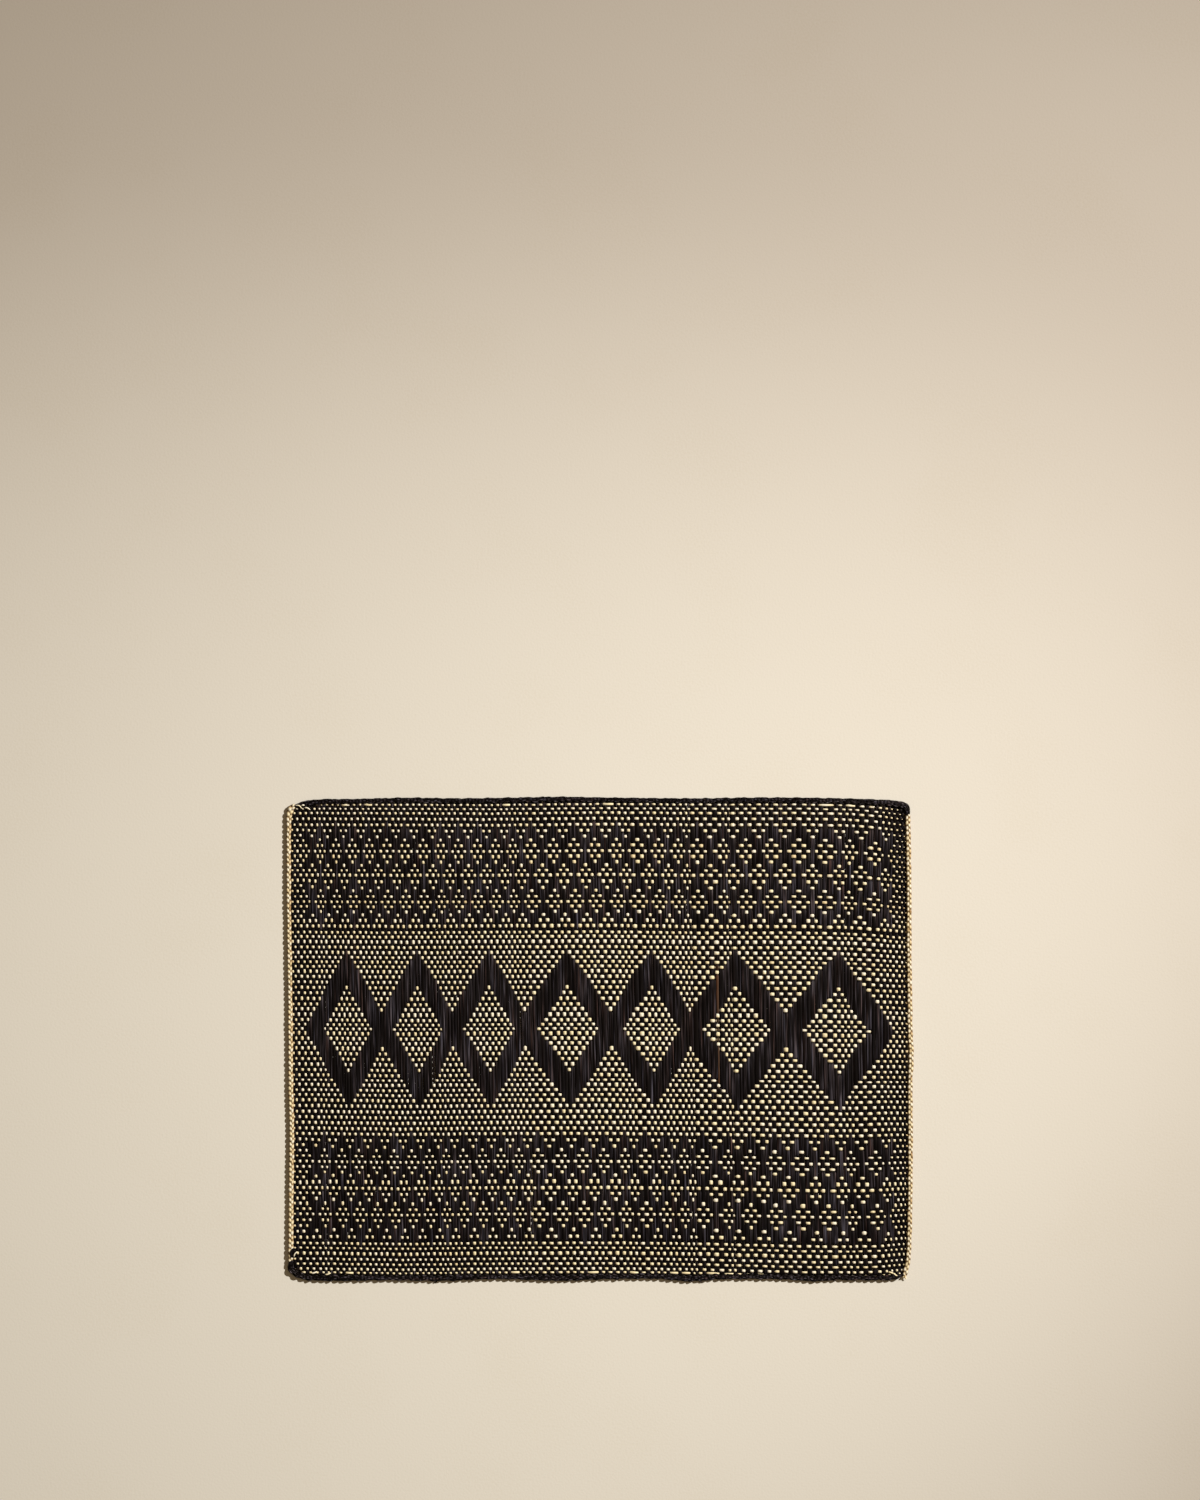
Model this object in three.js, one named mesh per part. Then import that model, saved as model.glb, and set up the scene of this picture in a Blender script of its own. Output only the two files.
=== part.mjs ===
// A hand-woven palm placemat. Black upright strips and natural cross strips make one flat
// woven panel, and the strip ends are plaited into four narrow edges: black along the top and
// the bottom, natural down the left and the right.
// Millimetres. The long side runs along X, the top edge faces +Y and the underside lies on
// z = 0, with the origin under the middle of the mat.
import * as THREE from 'three';

// Driving dimensions
const PANEL_THICK = 1.8;
const PANEL_EDGE_SOFTENING = 0.35;
const BLACK_PLAIT_THICK = 3.0;
const NATURAL_PLAIT_THICK = 2.8;
const GAP = 0.3;
const STATION_STEP = 5.5;

// Each plait is a row of stations along its length. outerX and outerY are on the edge of the
// mat, innerX and innerY on the line where the plait meets the woven panel.
const TOP_PLAIT = [
  { outerX: -218.9, outerY: 170.2, innerX: -217.6, innerY: 167.2 },
  { outerX: -213.0, outerY: 171.2, innerX: -212.4, innerY: 168.0 },
  { outerX: -203.0, outerY: 172.6, innerX: -203.0, innerY: 169.2 },
  { outerX: -178.0, outerY: 172.9, innerX: -178.0, innerY: 169.6 },
  { outerX: -138.0, outerY: 173.9, innerX: -138.0, innerY: 170.3 },
  { outerX: -104.0, outerY: 173.4, innerX: -104.0, innerY: 170.2 },
  { outerX: -57.0, outerY: 174.1, innerX: -57.0, innerY: 170.6 },
  { outerX: -29.0, outerY: 174.6, innerX: -29.0, innerY: 171.0 },
  { outerX: 0.0, outerY: 174.0, innerX: 0.0, innerY: 170.8 },
  { outerX: 70.0, outerY: 173.4, innerX: 70.0, innerY: 170.2 },
  { outerX: 104.0, outerY: 173.9, innerX: 104.0, innerY: 170.4 },
  { outerX: 150.0, outerY: 173.9, innerX: 150.0, innerY: 170.2 },
  { outerX: 184.0, outerY: 173.2, innerX: 184.0, innerY: 169.2 },
  { outerX: 207.5, outerY: 172.2, innerX: 206.5, innerY: 167.9 },
  { outerX: 216.2, outerY: 171.3, innerX: 214.6, innerY: 167.2 },
  { outerX: 220.9, outerY: 169.8, innerX: 217.8, innerY: 166.3 },
  { outerX: 223.1, outerY: 167.3, innerX: 219.2, innerY: 165.0 },
  { outerX: 223.4, outerY: 164.4, innerX: 219.6, innerY: 163.6 },
  { outerX: 222.8, outerY: 161.6, innerX: 219.5, innerY: 161.6 },
];

const RIGHT_PLAIT = [
  { outerX: 223.3, outerY: 160.9, innerX: 219.9, innerY: 160.9 },
  { outerX: 223.6, outerY: 153.5, innerX: 220.2, innerY: 153.5 },
  { outerX: 224.2, outerY: 115.0, innerX: 220.9, innerY: 115.0 },
  { outerX: 224.3, outerY: 74.0, innerX: 221.0, innerY: 74.0 },
  { outerX: 224.8, outerY: 28.0, innerX: 221.4, innerY: 28.0 },
  { outerX: 225.1, outerY: 5.0, innerX: 221.7, innerY: 5.0 },
  { outerX: 226.0, outerY: -12.0, innerX: 222.5, innerY: -12.0 },
  { outerX: 225.1, outerY: -29.0, innerX: 221.8, innerY: -29.0 },
  { outerX: 225.3, outerY: -80.0, innerX: 222.0, innerY: -80.0 },
  { outerX: 224.8, outerY: -121.0, innerX: 221.6, innerY: -121.0 },
  { outerX: 224.2, outerY: -149.0, innerX: 221.1, innerY: -149.0 },
  { outerX: 223.4, outerY: -159.5, innerX: 220.3, innerY: -159.0 },
  { outerX: 221.8, outerY: -166.5, innerX: 218.9, innerY: -165.2 },
  { outerX: 221.2, outerY: -171.4, innerX: 218.2, innerY: -170.4 },
];

const BOTTOM_PLAIT = [
  { outerX: 217.6, outerY: -171.6, innerX: 216.9, innerY: -168.2 },
  { outerX: 213.5, outerY: -173.0, innerX: 213.0, innerY: -168.9 },
  { outerX: 190.0, outerY: -173.5, innerX: 190.0, innerY: -169.2 },
  { outerX: 167.0, outerY: -173.5, innerX: 167.0, innerY: -169.0 },
  { outerX: 155.5, outerY: -174.4, innerX: 155.5, innerY: -169.2 },
  { outerX: 132.0, outerY: -172.9, innerX: 132.0, innerY: -168.5 },
  { outerX: 87.0, outerY: -172.8, innerX: 87.0, innerY: -168.5 },
  { outerX: 63.5, outerY: -174.4, innerX: 63.5, innerY: -168.9 },
  { outerX: 43.0, outerY: -172.5, innerX: 43.0, innerY: -168.3 },
  { outerX: 0.0, outerY: -172.9, innerX: 0.0, innerY: -168.4 },
  { outerX: -29.0, outerY: -174.0, innerX: -29.0, innerY: -168.9 },
  { outerX: -72.0, outerY: -172.6, innerX: -72.0, innerY: -168.4 },
  { outerX: -115.0, outerY: -174.1, innerX: -115.0, innerY: -169.0 },
  { outerX: -155.0, outerY: -173.5, innerX: -155.0, innerY: -169.0 },
  { outerX: -190.0, outerY: -174.0, innerX: -190.0, innerY: -169.2 },
  { outerX: -210.0, outerY: -173.4, innerX: -209.2, innerY: -168.8 },
  { outerX: -217.6, outerY: -171.9, innerX: -214.8, innerY: -167.6 },
  { outerX: -222.3, outerY: -169.0, innerX: -218.3, innerY: -165.6 },
  { outerX: -224.6, outerY: -165.0, innerX: -220.0, innerY: -163.2 },
  { outerX: -224.8, outerY: -161.6, innerX: -220.4, innerY: -161.4 },
  { outerX: -223.9, outerY: -159.4, innerX: -220.4, innerY: -159.8 },
];

const LEFT_PLAIT = [
  { outerX: -224.4, outerY: -158.5, innerX: -220.5, innerY: -158.9 },
  { outerX: -224.3, outerY: -150.0, innerX: -220.3, innerY: -150.0 },
  { outerX: -224.1, outerY: -121.0, innerX: -220.2, innerY: -121.0 },
  { outerX: -223.6, outerY: -64.0, innerX: -219.8, innerY: -64.0 },
  { outerX: -224.2, outerY: -29.0, innerX: -220.5, innerY: -29.0 },
  { outerX: -224.5, outerY: 28.0, innerX: -221.0, innerY: 28.0 },
  { outerX: -225.2, outerY: 79.0, innerX: -221.8, innerY: 79.0 },
  { outerX: -225.6, outerY: 129.0, innerX: -222.1, innerY: 129.0 },
  { outerX: -225.6, outerY: 152.0, innerX: -222.0, innerY: 152.0 },
  { outerX: -225.4, outerY: 161.5, innerX: -221.4, innerY: 160.8 },
  { outerX: -224.5, outerY: 166.2, innerX: -220.6, innerY: 163.8 },
  { outerX: -222.6, outerY: 168.6, innerX: -219.4, innerY: 165.8 },
  { outerX: -219.8, outerY: 170.1, innerX: -218.2, innerY: 167.1 },
];

// Half-round section of a plait: across runs from the outer edge to the panel, up from the
// flat underside to the crest, both as shares of the width and the thickness.
const PLAIT_SECTION = [
  { across: 0.08, up: 0 },
  { across: 0.92, up: 0 },
  { across: 1, up: 0.28 },
  { across: 0.94, up: 0.68 },
  { across: 0.74, up: 0.94 },
  { across: 0.5, up: 1 },
  { across: 0.26, up: 0.94 },
  { across: 0.06, up: 0.68 },
  { across: 0, up: 0.28 },
];

const BLACK_STRIP = { color: '#1c181a', roughness: 0.55, metalness: 0 };
const NATURAL_STRIP = { color: '#dcc492', roughness: 0.6, metalness: 0 };
const WOVEN_PANEL = { color: '#6d6150', roughness: 0.6, metalness: 0 };

// Smooth line through one pair of columns of a plait's table, at an even number of stations.
function smoothLine(rows, columnX, columnY, count) {
  const points = rows.map((row) => new THREE.Vector3(row[columnX], row[columnY], 0));
  const curve = new THREE.CatmullRomCurve3(points, false, 'centripetal');
  return Array.from({ length: count + 1 }, (_, i) => curve.getPoint(i / count));
}

// The outer and inner edge of a plait, station by station. Both run through the same rows, so
// a station's two points lie opposite each other.
function plaitStations(rows) {
  const ends = rows.map((row) => new THREE.Vector2(row.outerX, row.outerY));
  let length = 0;
  for (let i = 1; i < ends.length; i += 1) {
    length += ends[i].distanceTo(ends[i - 1]);
  }
  const perRow = Math.max(1, Math.round(length / STATION_STEP / (rows.length - 1)));
  const count = perRow * (rows.length - 1);
  const outer = smoothLine(rows, 'outerX', 'outerY', count);
  const inner = smoothLine(rows, 'innerX', 'innerY', count);
  return outer.map((point, i) => ({ outer: point, inner: inner[i] }));
}

// Closed solid of a plait: the half-round section carried from station to station and closed
// by a fan of faces at each end.
function plaitGeometry(rows, thickness) {
  const stations = plaitStations(rows);
  const sides = PLAIT_SECTION.length;
  const positions = [];
  for (const { outer, inner } of stations) {
    for (const { across, up } of PLAIT_SECTION) {
      const point = outer.clone().lerp(inner, across);
      positions.push(point.x, point.y, up * thickness);
    }
  }
  const faces = [];
  for (let i = 0; i < stations.length - 1; i += 1) {
    for (let j = 0; j < sides; j += 1) {
      const a = i * sides + j;
      const b = i * sides + ((j + 1) % sides);
      faces.push(a, b + sides, b);
      faces.push(a, a + sides, b + sides);
    }
  }
  const last = (stations.length - 1) * sides;
  for (let j = 1; j < sides - 1; j += 1) {
    faces.push(0, j, j + 1);
    faces.push(last, last + j + 1, last + j);
  }
  const geometry = new THREE.BufferGeometry();
  geometry.setAttribute('position', new THREE.Float32BufferAttribute(positions, 3));
  geometry.setIndex(faces);
  geometry.computeVertexNormals();
  return geometry;
}

// Edge of the woven panel along one plait: the plait's inner line moved in by the gap.
function panelEdge(rows) {
  return plaitStations(rows).map(({ outer, inner }) => {
    const inward = inner.clone().sub(outer).normalize();
    return inner.clone().addScaledVector(inward, GAP);
  });
}

// The woven panel: one flat sheet with the mat's uneven outline and softened edges. The right
// plait ends in a short tuft below the bottom plait's line, where there is no panel beside it.
function panelGeometry() {
  const aboveBottomPlait = (point) => point.y > BOTTOM_PLAIT[0].innerY;
  const outline = [
    ...panelEdge(TOP_PLAIT),
    ...panelEdge(RIGHT_PLAIT).filter(aboveBottomPlait),
    ...panelEdge(BOTTOM_PLAIT),
    ...panelEdge(LEFT_PLAIT),
  ];
  const shape = new THREE.Shape(outline.map((point) => new THREE.Vector2(point.x, point.y)));
  const geometry = new THREE.ExtrudeGeometry(shape, {
    depth: PANEL_THICK - 2 * PANEL_EDGE_SOFTENING,
    bevelEnabled: true,
    bevelThickness: PANEL_EDGE_SOFTENING,
    bevelSize: PANEL_EDGE_SOFTENING,
    bevelOffset: -PANEL_EDGE_SOFTENING,
    bevelSegments: 1,
  });
  geometry.translate(0, 0, PANEL_EDGE_SOFTENING);
  return geometry;
}

function namedMesh(name, geometry, look) {
  const mesh = new THREE.Mesh(geometry, new THREE.MeshStandardMaterial(look));
  mesh.name = name;
  return mesh;
}

const group = new THREE.Group();
group.add(namedMesh('woven_panel', panelGeometry(), WOVEN_PANEL));
group.add(namedMesh('plait_top', plaitGeometry(TOP_PLAIT, BLACK_PLAIT_THICK), BLACK_STRIP));
group.add(namedMesh('plait_bottom', plaitGeometry(BOTTOM_PLAIT, BLACK_PLAIT_THICK), BLACK_STRIP));
group.add(namedMesh('plait_left', plaitGeometry(LEFT_PLAIT, NATURAL_PLAIT_THICK), NATURAL_STRIP));
group.add(namedMesh('plait_right', plaitGeometry(RIGHT_PLAIT, NATURAL_PLAIT_THICK), NATURAL_STRIP));

// The hand-plaited edges are uneven, so the middle is set from the solids' own outline.
const box = new THREE.Box3().setFromObject(group);
const middle = box.getCenter(new THREE.Vector3());
group.position.set(-middle.x, -middle.y, -box.min.z);
group.updateMatrixWorld(true);

export default group;
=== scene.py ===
# %% [markdown]
# # A hand-woven palm placemat
#
# The real mat is made from split palm leaf. Black-dyed strips run up the mat and natural
# ones run across it. The natural strip passes over every other black one, and where it stays
# under, the black strips float over it and draw the diamonds. The strip ends are gathered
# into narrow three-strand plaits, black along the top and the bottom, natural at the sides.
#
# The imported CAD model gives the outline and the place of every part. This lesson dresses it.

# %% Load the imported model
import math

import bpy
import numpy as np
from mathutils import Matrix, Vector
from mathutils.bvhtree import BVHTree


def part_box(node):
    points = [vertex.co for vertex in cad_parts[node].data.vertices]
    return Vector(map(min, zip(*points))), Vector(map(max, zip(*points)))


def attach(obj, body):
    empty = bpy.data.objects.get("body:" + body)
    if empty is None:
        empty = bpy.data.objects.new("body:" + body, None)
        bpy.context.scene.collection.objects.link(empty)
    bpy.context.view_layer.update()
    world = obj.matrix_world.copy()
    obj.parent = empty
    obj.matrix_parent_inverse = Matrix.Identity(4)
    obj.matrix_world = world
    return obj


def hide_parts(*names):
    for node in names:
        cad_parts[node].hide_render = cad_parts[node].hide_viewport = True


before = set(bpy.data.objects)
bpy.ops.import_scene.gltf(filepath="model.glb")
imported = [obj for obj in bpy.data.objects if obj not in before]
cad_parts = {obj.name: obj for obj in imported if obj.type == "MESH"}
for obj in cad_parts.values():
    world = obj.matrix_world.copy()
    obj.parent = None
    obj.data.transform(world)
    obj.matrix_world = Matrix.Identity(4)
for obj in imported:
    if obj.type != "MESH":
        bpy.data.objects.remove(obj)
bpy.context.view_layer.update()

MM = 0.001
bpy.ops.object.select_all(action="DESELECT")

# %% [markdown]
# ## The camera
#
# The mat was photographed from straight above, as it lies, and it fills the lower middle of
# the frame. A camera could be aimed with a constraint, but one that looks straight down needs
# no turn at all: its place and its lens say everything.

# %% Camera
PHOTO_WIDE, PHOTO_TALL = 1200, 1500
MM_PER_PIXEL = 0.72
MAT_MIDDLE_PIXEL = (600.06, 1039.06)
CAMERA_HEIGHT = 2.0
SENSOR = 36.0

view_tall = PHOTO_TALL * MM_PER_PIXEL * MM
view_middle = (
    (PHOTO_WIDE / 2 - MAT_MIDDLE_PIXEL[0]) * MM_PER_PIXEL * MM,
    (MAT_MIDDLE_PIXEL[1] - PHOTO_TALL / 2) * MM_PER_PIXEL * MM,
)
bpy.ops.object.camera_add(location=(*view_middle, CAMERA_HEIGHT), rotation=(0, 0, 0))
camera = bpy.context.object
camera.name = "overhead_camera"
camera.data.sensor_width = SENSOR
camera.data.lens = SENSOR * CAMERA_HEIGHT / view_tall
camera.data.dof.use_dof = False
bpy.context.scene.camera = camera
bpy.context.scene.view_settings.view_transform = "Standard"
print("lens", round(camera.data.lens, 2), "mm over a view", round(view_tall, 3), "m tall")

# %% [markdown]
# ## Colours and nodes
#
# Colours are picked on screen as sRGB hex, and a shader wants them linear, so one function
# turns them. Another adds a node, sets it and links it, which keeps a material readable as a
# list of what it is made of.

# %% Colour and node helpers
def linear_colour(hex_code):
    """An sRGB colour written as #rrggbb, as linear red, green, blue and alpha."""
    parts = [int(hex_code[i:i + 2], 16) / 255 for i in (1, 3, 5)]
    curve = [p / 12.92 if p <= 0.04045 else ((p + 0.055) / 1.055) ** 2.4 for p in parts]
    return (*curve, 1.0)


def add_node(tree, kind, sockets=None, **settings):
    """Adds one node, sets its options, and fills or links its sockets by name or number."""
    made = tree.nodes.new(kind)
    for name, value in settings.items():
        setattr(made, name, value)
    for socket, value in (sockets or {}).items():
        if isinstance(value, bpy.types.NodeSocket):
            tree.links.new(value, made.inputs[socket])
        else:
            made.inputs[socket].default_value = value
    return made


def set_stops(ramp_node, stops):
    """Sets a colour ramp from pairs of place and hex colour."""
    ramp = ramp_node.color_ramp
    while len(ramp.elements) < len(stops):
        ramp.elements.new(0.5)
    for element, (place, hex_code) in zip(ramp.elements, stops):
        element.position = place
        element.color = linear_colour(hex_code)


def new_material(name):
    """An empty material, with its node tree and its Principled shader."""
    material = bpy.data.materials.new(name)
    material.use_nodes = True
    tree = material.node_tree
    tree.nodes.clear()
    shader = add_node(tree, "ShaderNodeBsdfPrincipled")
    add_node(tree, "ShaderNodeOutputMaterial", {"Surface": shader.outputs["BSDF"]})
    return material, tree, shader


print("mid grey is", round(linear_colour("#808080")[0], 3), "in linear light")

# %% [markdown]
# ## The floor
#
# The backdrop is plain, pale and warm: matt plaster put on with a roller, which scatters the
# light evenly, has no highlight and shows a faint grain. One wide plane is enough, because
# the mat lies flat on it, and the grain and a softer clouding come from its material.

# %% Floor
FLOOR_SIDE = 14.0
FLOOR_DROP = 0.1 * MM
FLOOR_GRAIN = 1.6 * MM
FLOOR_CLOUD = 110 * MM
FLOOR_RELIEF = 0.2 * MM

bpy.ops.mesh.primitive_plane_add(size=FLOOR_SIDE, location=(0, 0, -FLOOR_DROP))
floor = bpy.context.object
floor.name = "floor"
bpy.ops.object.transform_apply(location=True)
plaster, tree, shader = new_material("matt_plaster_rolled")
place = add_node(tree, "ShaderNodeTexCoord").outputs["Object"]
grain = add_node(
    tree, "ShaderNodeTexNoise", {"Vector": place, "Scale": 1 / FLOOR_GRAIN, "Detail": 3.0}
)
cloud = add_node(
    tree, "ShaderNodeTexNoise", {"Vector": place, "Scale": 1 / FLOOR_CLOUD, "Detail": 2.0}
)
mixed = add_node(
    tree,
    "ShaderNodeMath",
    {0: grain.outputs["Fac"], 1: cloud.outputs["Fac"]},
    operation="ADD",
)
tint = add_node(tree, "ShaderNodeValToRGB", {"Fac": mixed.outputs[0]})
set_stops(tint, [(0.55, "#e6e3d7"), (1.0, "#e9e7dd")])
bump = add_node(
    tree,
    "ShaderNodeBump",
    {"Height": grain.outputs["Fac"], "Strength": 0.25, "Distance": FLOOR_RELIEF},
)
tree.links.new(tint.outputs["Color"], shader.inputs["Base Color"])
tree.links.new(bump.outputs["Normal"], shader.inputs["Normal"])
shader.inputs["Roughness"].default_value = 0.9
shader.inputs["Specular IOR Level"].default_value = 0.2
floor.data.materials.append(plaster)
print("floor", FLOOR_SIDE, "m wide, with a grain of", round(FLOOR_GRAIN / MM, 1), "mm")

# %% [markdown]
# ## The light
#
# One hard lamp stands to the upper right, about 31 degrees up, which gives the thin crisp
# shadow along the left and lower edges. Its light is brightest around the mat and falls off to
# the corners. A single cone falls off evenly all round, so two cones from the same place,
# aimed a little apart, follow the real falloff better, and their shadows still lie on each
# other. The room fills the shadows with a little warm light.

# %% Lamps
LAMP_ELEVATION = math.radians(31)
LAMP_AZIMUTH = math.radians(33)
LAMP_DISTANCE = 3.08
LAMP_RADIUS = 0.015
CONES = (
    {"name": "lamp_core", "aim": (-1.0, -0.68), "half_angle": 17.2, "watts": 329, "tint": "#fffef7"},
    {"name": "lamp_spill", "aim": (-1.0, -0.50), "half_angle": 27.2, "watts": 372, "tint": "#fff3eb"},
)
FILL_COLOUR = (0.150, 0.108, 0.064, 1.0)

towards_lamp = Vector(
    (
        math.cos(LAMP_ELEVATION) * math.cos(LAMP_AZIMUTH),
        math.cos(LAMP_ELEVATION) * math.sin(LAMP_AZIMUTH),
        math.sin(LAMP_ELEVATION),
    )
)
lamp_place = towards_lamp * LAMP_DISTANCE
for cone in CONES:
    bpy.ops.object.light_add(type="SPOT", location=lamp_place)
    lamp = bpy.context.object
    lamp.name = cone["name"]
    lamp.data.energy = cone["watts"]
    lamp.data.color = linear_colour(cone["tint"])[:3]
    lamp.data.shadow_soft_size = LAMP_RADIUS
    lamp.data.spot_size = 2 * math.radians(cone["half_angle"])
    lamp.data.spot_blend = 1.0
    beam = Vector((*cone["aim"], 0)) - lamp_place
    lamp.rotation_euler = beam.to_track_quat("-Z", "Y").to_euler()
    print(lamp.name, "spreads", cone["watts"], "W over", 2 * cone["half_angle"], "degrees")

room = bpy.data.worlds.new("warm_room")
room.use_nodes = True
room.node_tree.nodes["Background"].inputs["Color"].default_value = FILL_COLOUR
room.node_tree.nodes["Background"].inputs["Strength"].default_value = 1.0
bpy.context.scene.world = room

# %% [markdown]
# ## Where the strips lie
#
# Leaf is split by hand, so no two strips are equally wide. On this mat the black uprights are
# about 2 mm wide at the left and 3 mm at the right, and they lean a little. That is why the
# diamonds grow towards the right. The pattern was counted off the mat: 184 uprights, and 91
# natural cross strips, called wefts here. Both are numbered from the middle weft and from the
# first full upright at the left.
#
# A table has one row for each half diamond, and the single strips are spread inside it with
# a seeded random unevenness, so the row keeps its measured width.

# %% Strip counts and measured pitches
FIRST_UPRIGHT, LAST_UPRIGHT = -1, 182
FIRST_WEFT, LAST_WEFT = -44, 46

# The places are in millimetres from the middle of the mat. The pitches of the uprights were
# measured along one weft, and their lean is how far they move over the height of the bands.
FIRST_UPRIGHT_X = -220.3
FIRST_WEFT_Y = 169.35
MEASURED_WEFT = 18
FIRST_LEAN = 2.0

HALF_DIAMONDS = (
    {"uprights": 7, "pitch": 2.21, "lean": 3.8, "uneven": 0.10},
    {"uprights": 12, "pitch": 2.034, "lean": 6.3, "uneven": 0.12},
    {"uprights": 12, "pitch": 2.076, "lean": 7.2, "uneven": 0.12},
    {"uprights": 12, "pitch": 2.178, "lean": 6.5, "uneven": 0.12},
    {"uprights": 12, "pitch": 2.028, "lean": 5.0, "uneven": 0.12},
    {"uprights": 12, "pitch": 2.22, "lean": 4.8, "uneven": 0.12},
    {"uprights": 12, "pitch": 2.148, "lean": 6.5, "uneven": 0.12},
    {"uprights": 12, "pitch": 2.628, "lean": 8.4, "uneven": 0.12},
    {"uprights": 12, "pitch": 2.586, "lean": 8.6, "uneven": 0.12},
    {"uprights": 12, "pitch": 2.484, "lean": 7.3, "uneven": 0.15},
    {"uprights": 12, "pitch": 2.19, "lean": 5.5, "uneven": 0.18},
    {"uprights": 12, "pitch": 2.718, "lean": 4.5, "uneven": 0.30},
    {"uprights": 12, "pitch": 3.0, "lean": 3.8, "uneven": 0.26},
    {"uprights": 12, "pitch": 3.162, "lean": 2.9, "uneven": 0.24},
    {"uprights": 12, "pitch": 2.712, "lean": 1.8, "uneven": 0.20},
    {"uprights": 6, "pitch": 2.10, "lean": 1.1, "uneven": 0.12},
    {"uprights": 2, "pitch": 1.51, "lean": 1.0, "uneven": 0.05},
)

WEFT_BLOCKS = (
    {"wefts": 2, "pitch": 3.1},
    {"wefts": 2, "pitch": 4.18},
    {"wefts": 5, "pitch": 3.80},
    {"wefts": 5, "pitch": 3.44},
    {"wefts": 5, "pitch": 3.86},
    {"wefts": 5, "pitch": 3.50},
    {"wefts": 1, "pitch": 4.50},
    {"wefts": 2, "pitch": 3.40},
    {"wefts": 2, "pitch": 3.85},
    {"wefts": 5, "pitch": 3.51},
    {"wefts": 5, "pitch": 3.99},
    {"wefts": 5, "pitch": 3.54},
    {"wefts": 5, "pitch": 3.57},
    {"wefts": 5, "pitch": 3.80},
    {"wefts": 5, "pitch": 3.73},
    {"wefts": 5, "pitch": 4.02},
    {"wefts": 5, "pitch": 4.02},
    {"wefts": 5, "pitch": 3.80},
    {"wefts": 5, "pitch": 3.80},
    {"wefts": 5, "pitch": 4.19},
    {"wefts": 5, "pitch": 3.69},
    {"wefts": 1, "pitch": 2.6},
)

# How far a weft drops below its height at the middle of the mat, in millimetres, at each
# distance across the mat. The weave was beaten down harder towards the right.
DROP_ACROSS = (-219, -144, -80, 0, 72, 144, 180, 202, 218)
DROP_TABLE = (
    {"weft": -40, "drop": (0.5, 0.7, 1.0, 0.15, 0.6, 0.5, 1.2, 2.8, 5.3)},
    {"weft": -32, "drop": (0.5, 0.7, 0.8, 0.1, 0.8, 0.6, 1.4, 3.1, 5.8)},
    {"weft": -20, "drop": (0.3, 0.8, 0.4, 0.0, 1.0, 0.8, 1.6, 3.0, 4.8)},
    {"weft": 2, "drop": (-0.2, 0.8, 0.2, -0.1, 0.7, 1.3, 1.9, 2.2, 2.6)},
    {"weft": 18, "drop": (-0.2, 0.8, 0.1, -0.1, 0.5, 1.7, 2.0, 1.1, 1.0)},
    {"weft": 40, "drop": (-0.5, 0.6, -0.2, -0.4, 0.3, 2.2, 2.4, 2.1, 0.3)},
)

# The rows bunch only where there are lozenges. Beside the lattice they lie evenly again.
EVENED_AT = (3, 9, 167, 174)
EVENED = (1.0, 0.0, 0.0, 1.0)

# Towards the corners at the right, the last uprights are pushed together, in millimetres.
PUSHED_AT = (138, 171, 182)
PUSHED_BY = (0.0, 2.8, 0.0)

# In many places every other upright is the wider one, by this many percent of its width.
EVEN_WIDER_AT = (4, 14, 28, 36, 44, 52, 76, 84, 92, 100, 116, 124, 140, 148, 156, 164, 180)
EVEN_WIDER = (0, 9, 11, 0, 18, -3, -3, 13, 9, 6, 12, 4, 8, 18, -2, 14, 2)
print(len(HALF_DIAMONDS), "half diamonds and", len(WEFT_BLOCKS), "blocks of wefts measured")

# %% [markdown]
# ## The pattern, counted by hand
#
# In plain weave a natural cell shows wherever the numbers of its upright and its weft add to
# an even number. A big diamond is a ring of black floats: 8 to 16 steps from its centre,
# counted across plus up. The bands above and below the diamonds are a lattice: only small
# ## The pattern, counted
# is shifted by half their distance.

# %% Pattern rules
DIAMOND_CENTRE, DIAMOND_STEP, DIAMOND_COUNT = 18, 24, 7
RING_INNER, RING_OUTER = 8, 16
BAND_FIRST, BAND_LAST = 20, 40
LOZENGE_RISE, LOZENGE_STEP, LOZENGE_REACH = 5, 6, 2
BAND_LEFT, BAND_RIGHT = 3, 177

weft_numbers = np.arange(FIRST_WEFT, LAST_WEFT + 1)
upright_numbers = np.arange(FIRST_UPRIGHT, LAST_UPRIGHT + 1)
weft_grid, upright_grid = np.meshgrid(weft_numbers, upright_numbers, indexing="ij")
from_middle = np.abs(weft_grid)
natural_on_top = (weft_grid + upright_grid) % 2 == 0

nearest = np.clip(
    np.round((upright_grid - DIAMOND_CENTRE) / DIAMOND_STEP), 0, DIAMOND_COUNT - 1
)
steps_out = np.abs(upright_grid - DIAMOND_CENTRE - DIAMOND_STEP * nearest) + from_middle
natural_on_top &= ~((steps_out > RING_INNER) & (steps_out < RING_OUTER))

band_row = (from_middle - BAND_FIRST + LOZENGE_REACH) // LOZENGE_RISE
up_steps = np.abs(from_middle - BAND_FIRST - LOZENGE_RISE * band_row)
shift = np.where(band_row % 2 == 0, 0, LOZENGE_STEP // 2)
side_steps = np.abs(
    (upright_grid - shift + LOZENGE_STEP // 2) % LOZENGE_STEP - LOZENGE_STEP // 2
)
in_band = (from_middle >= BAND_FIRST) & (from_middle <= BAND_LAST)
in_band &= (upright_grid > BAND_LEFT) & (upright_grid < BAND_RIGHT)
natural_on_top &= ~in_band | (side_steps <= LOZENGE_REACH - up_steps)

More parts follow.
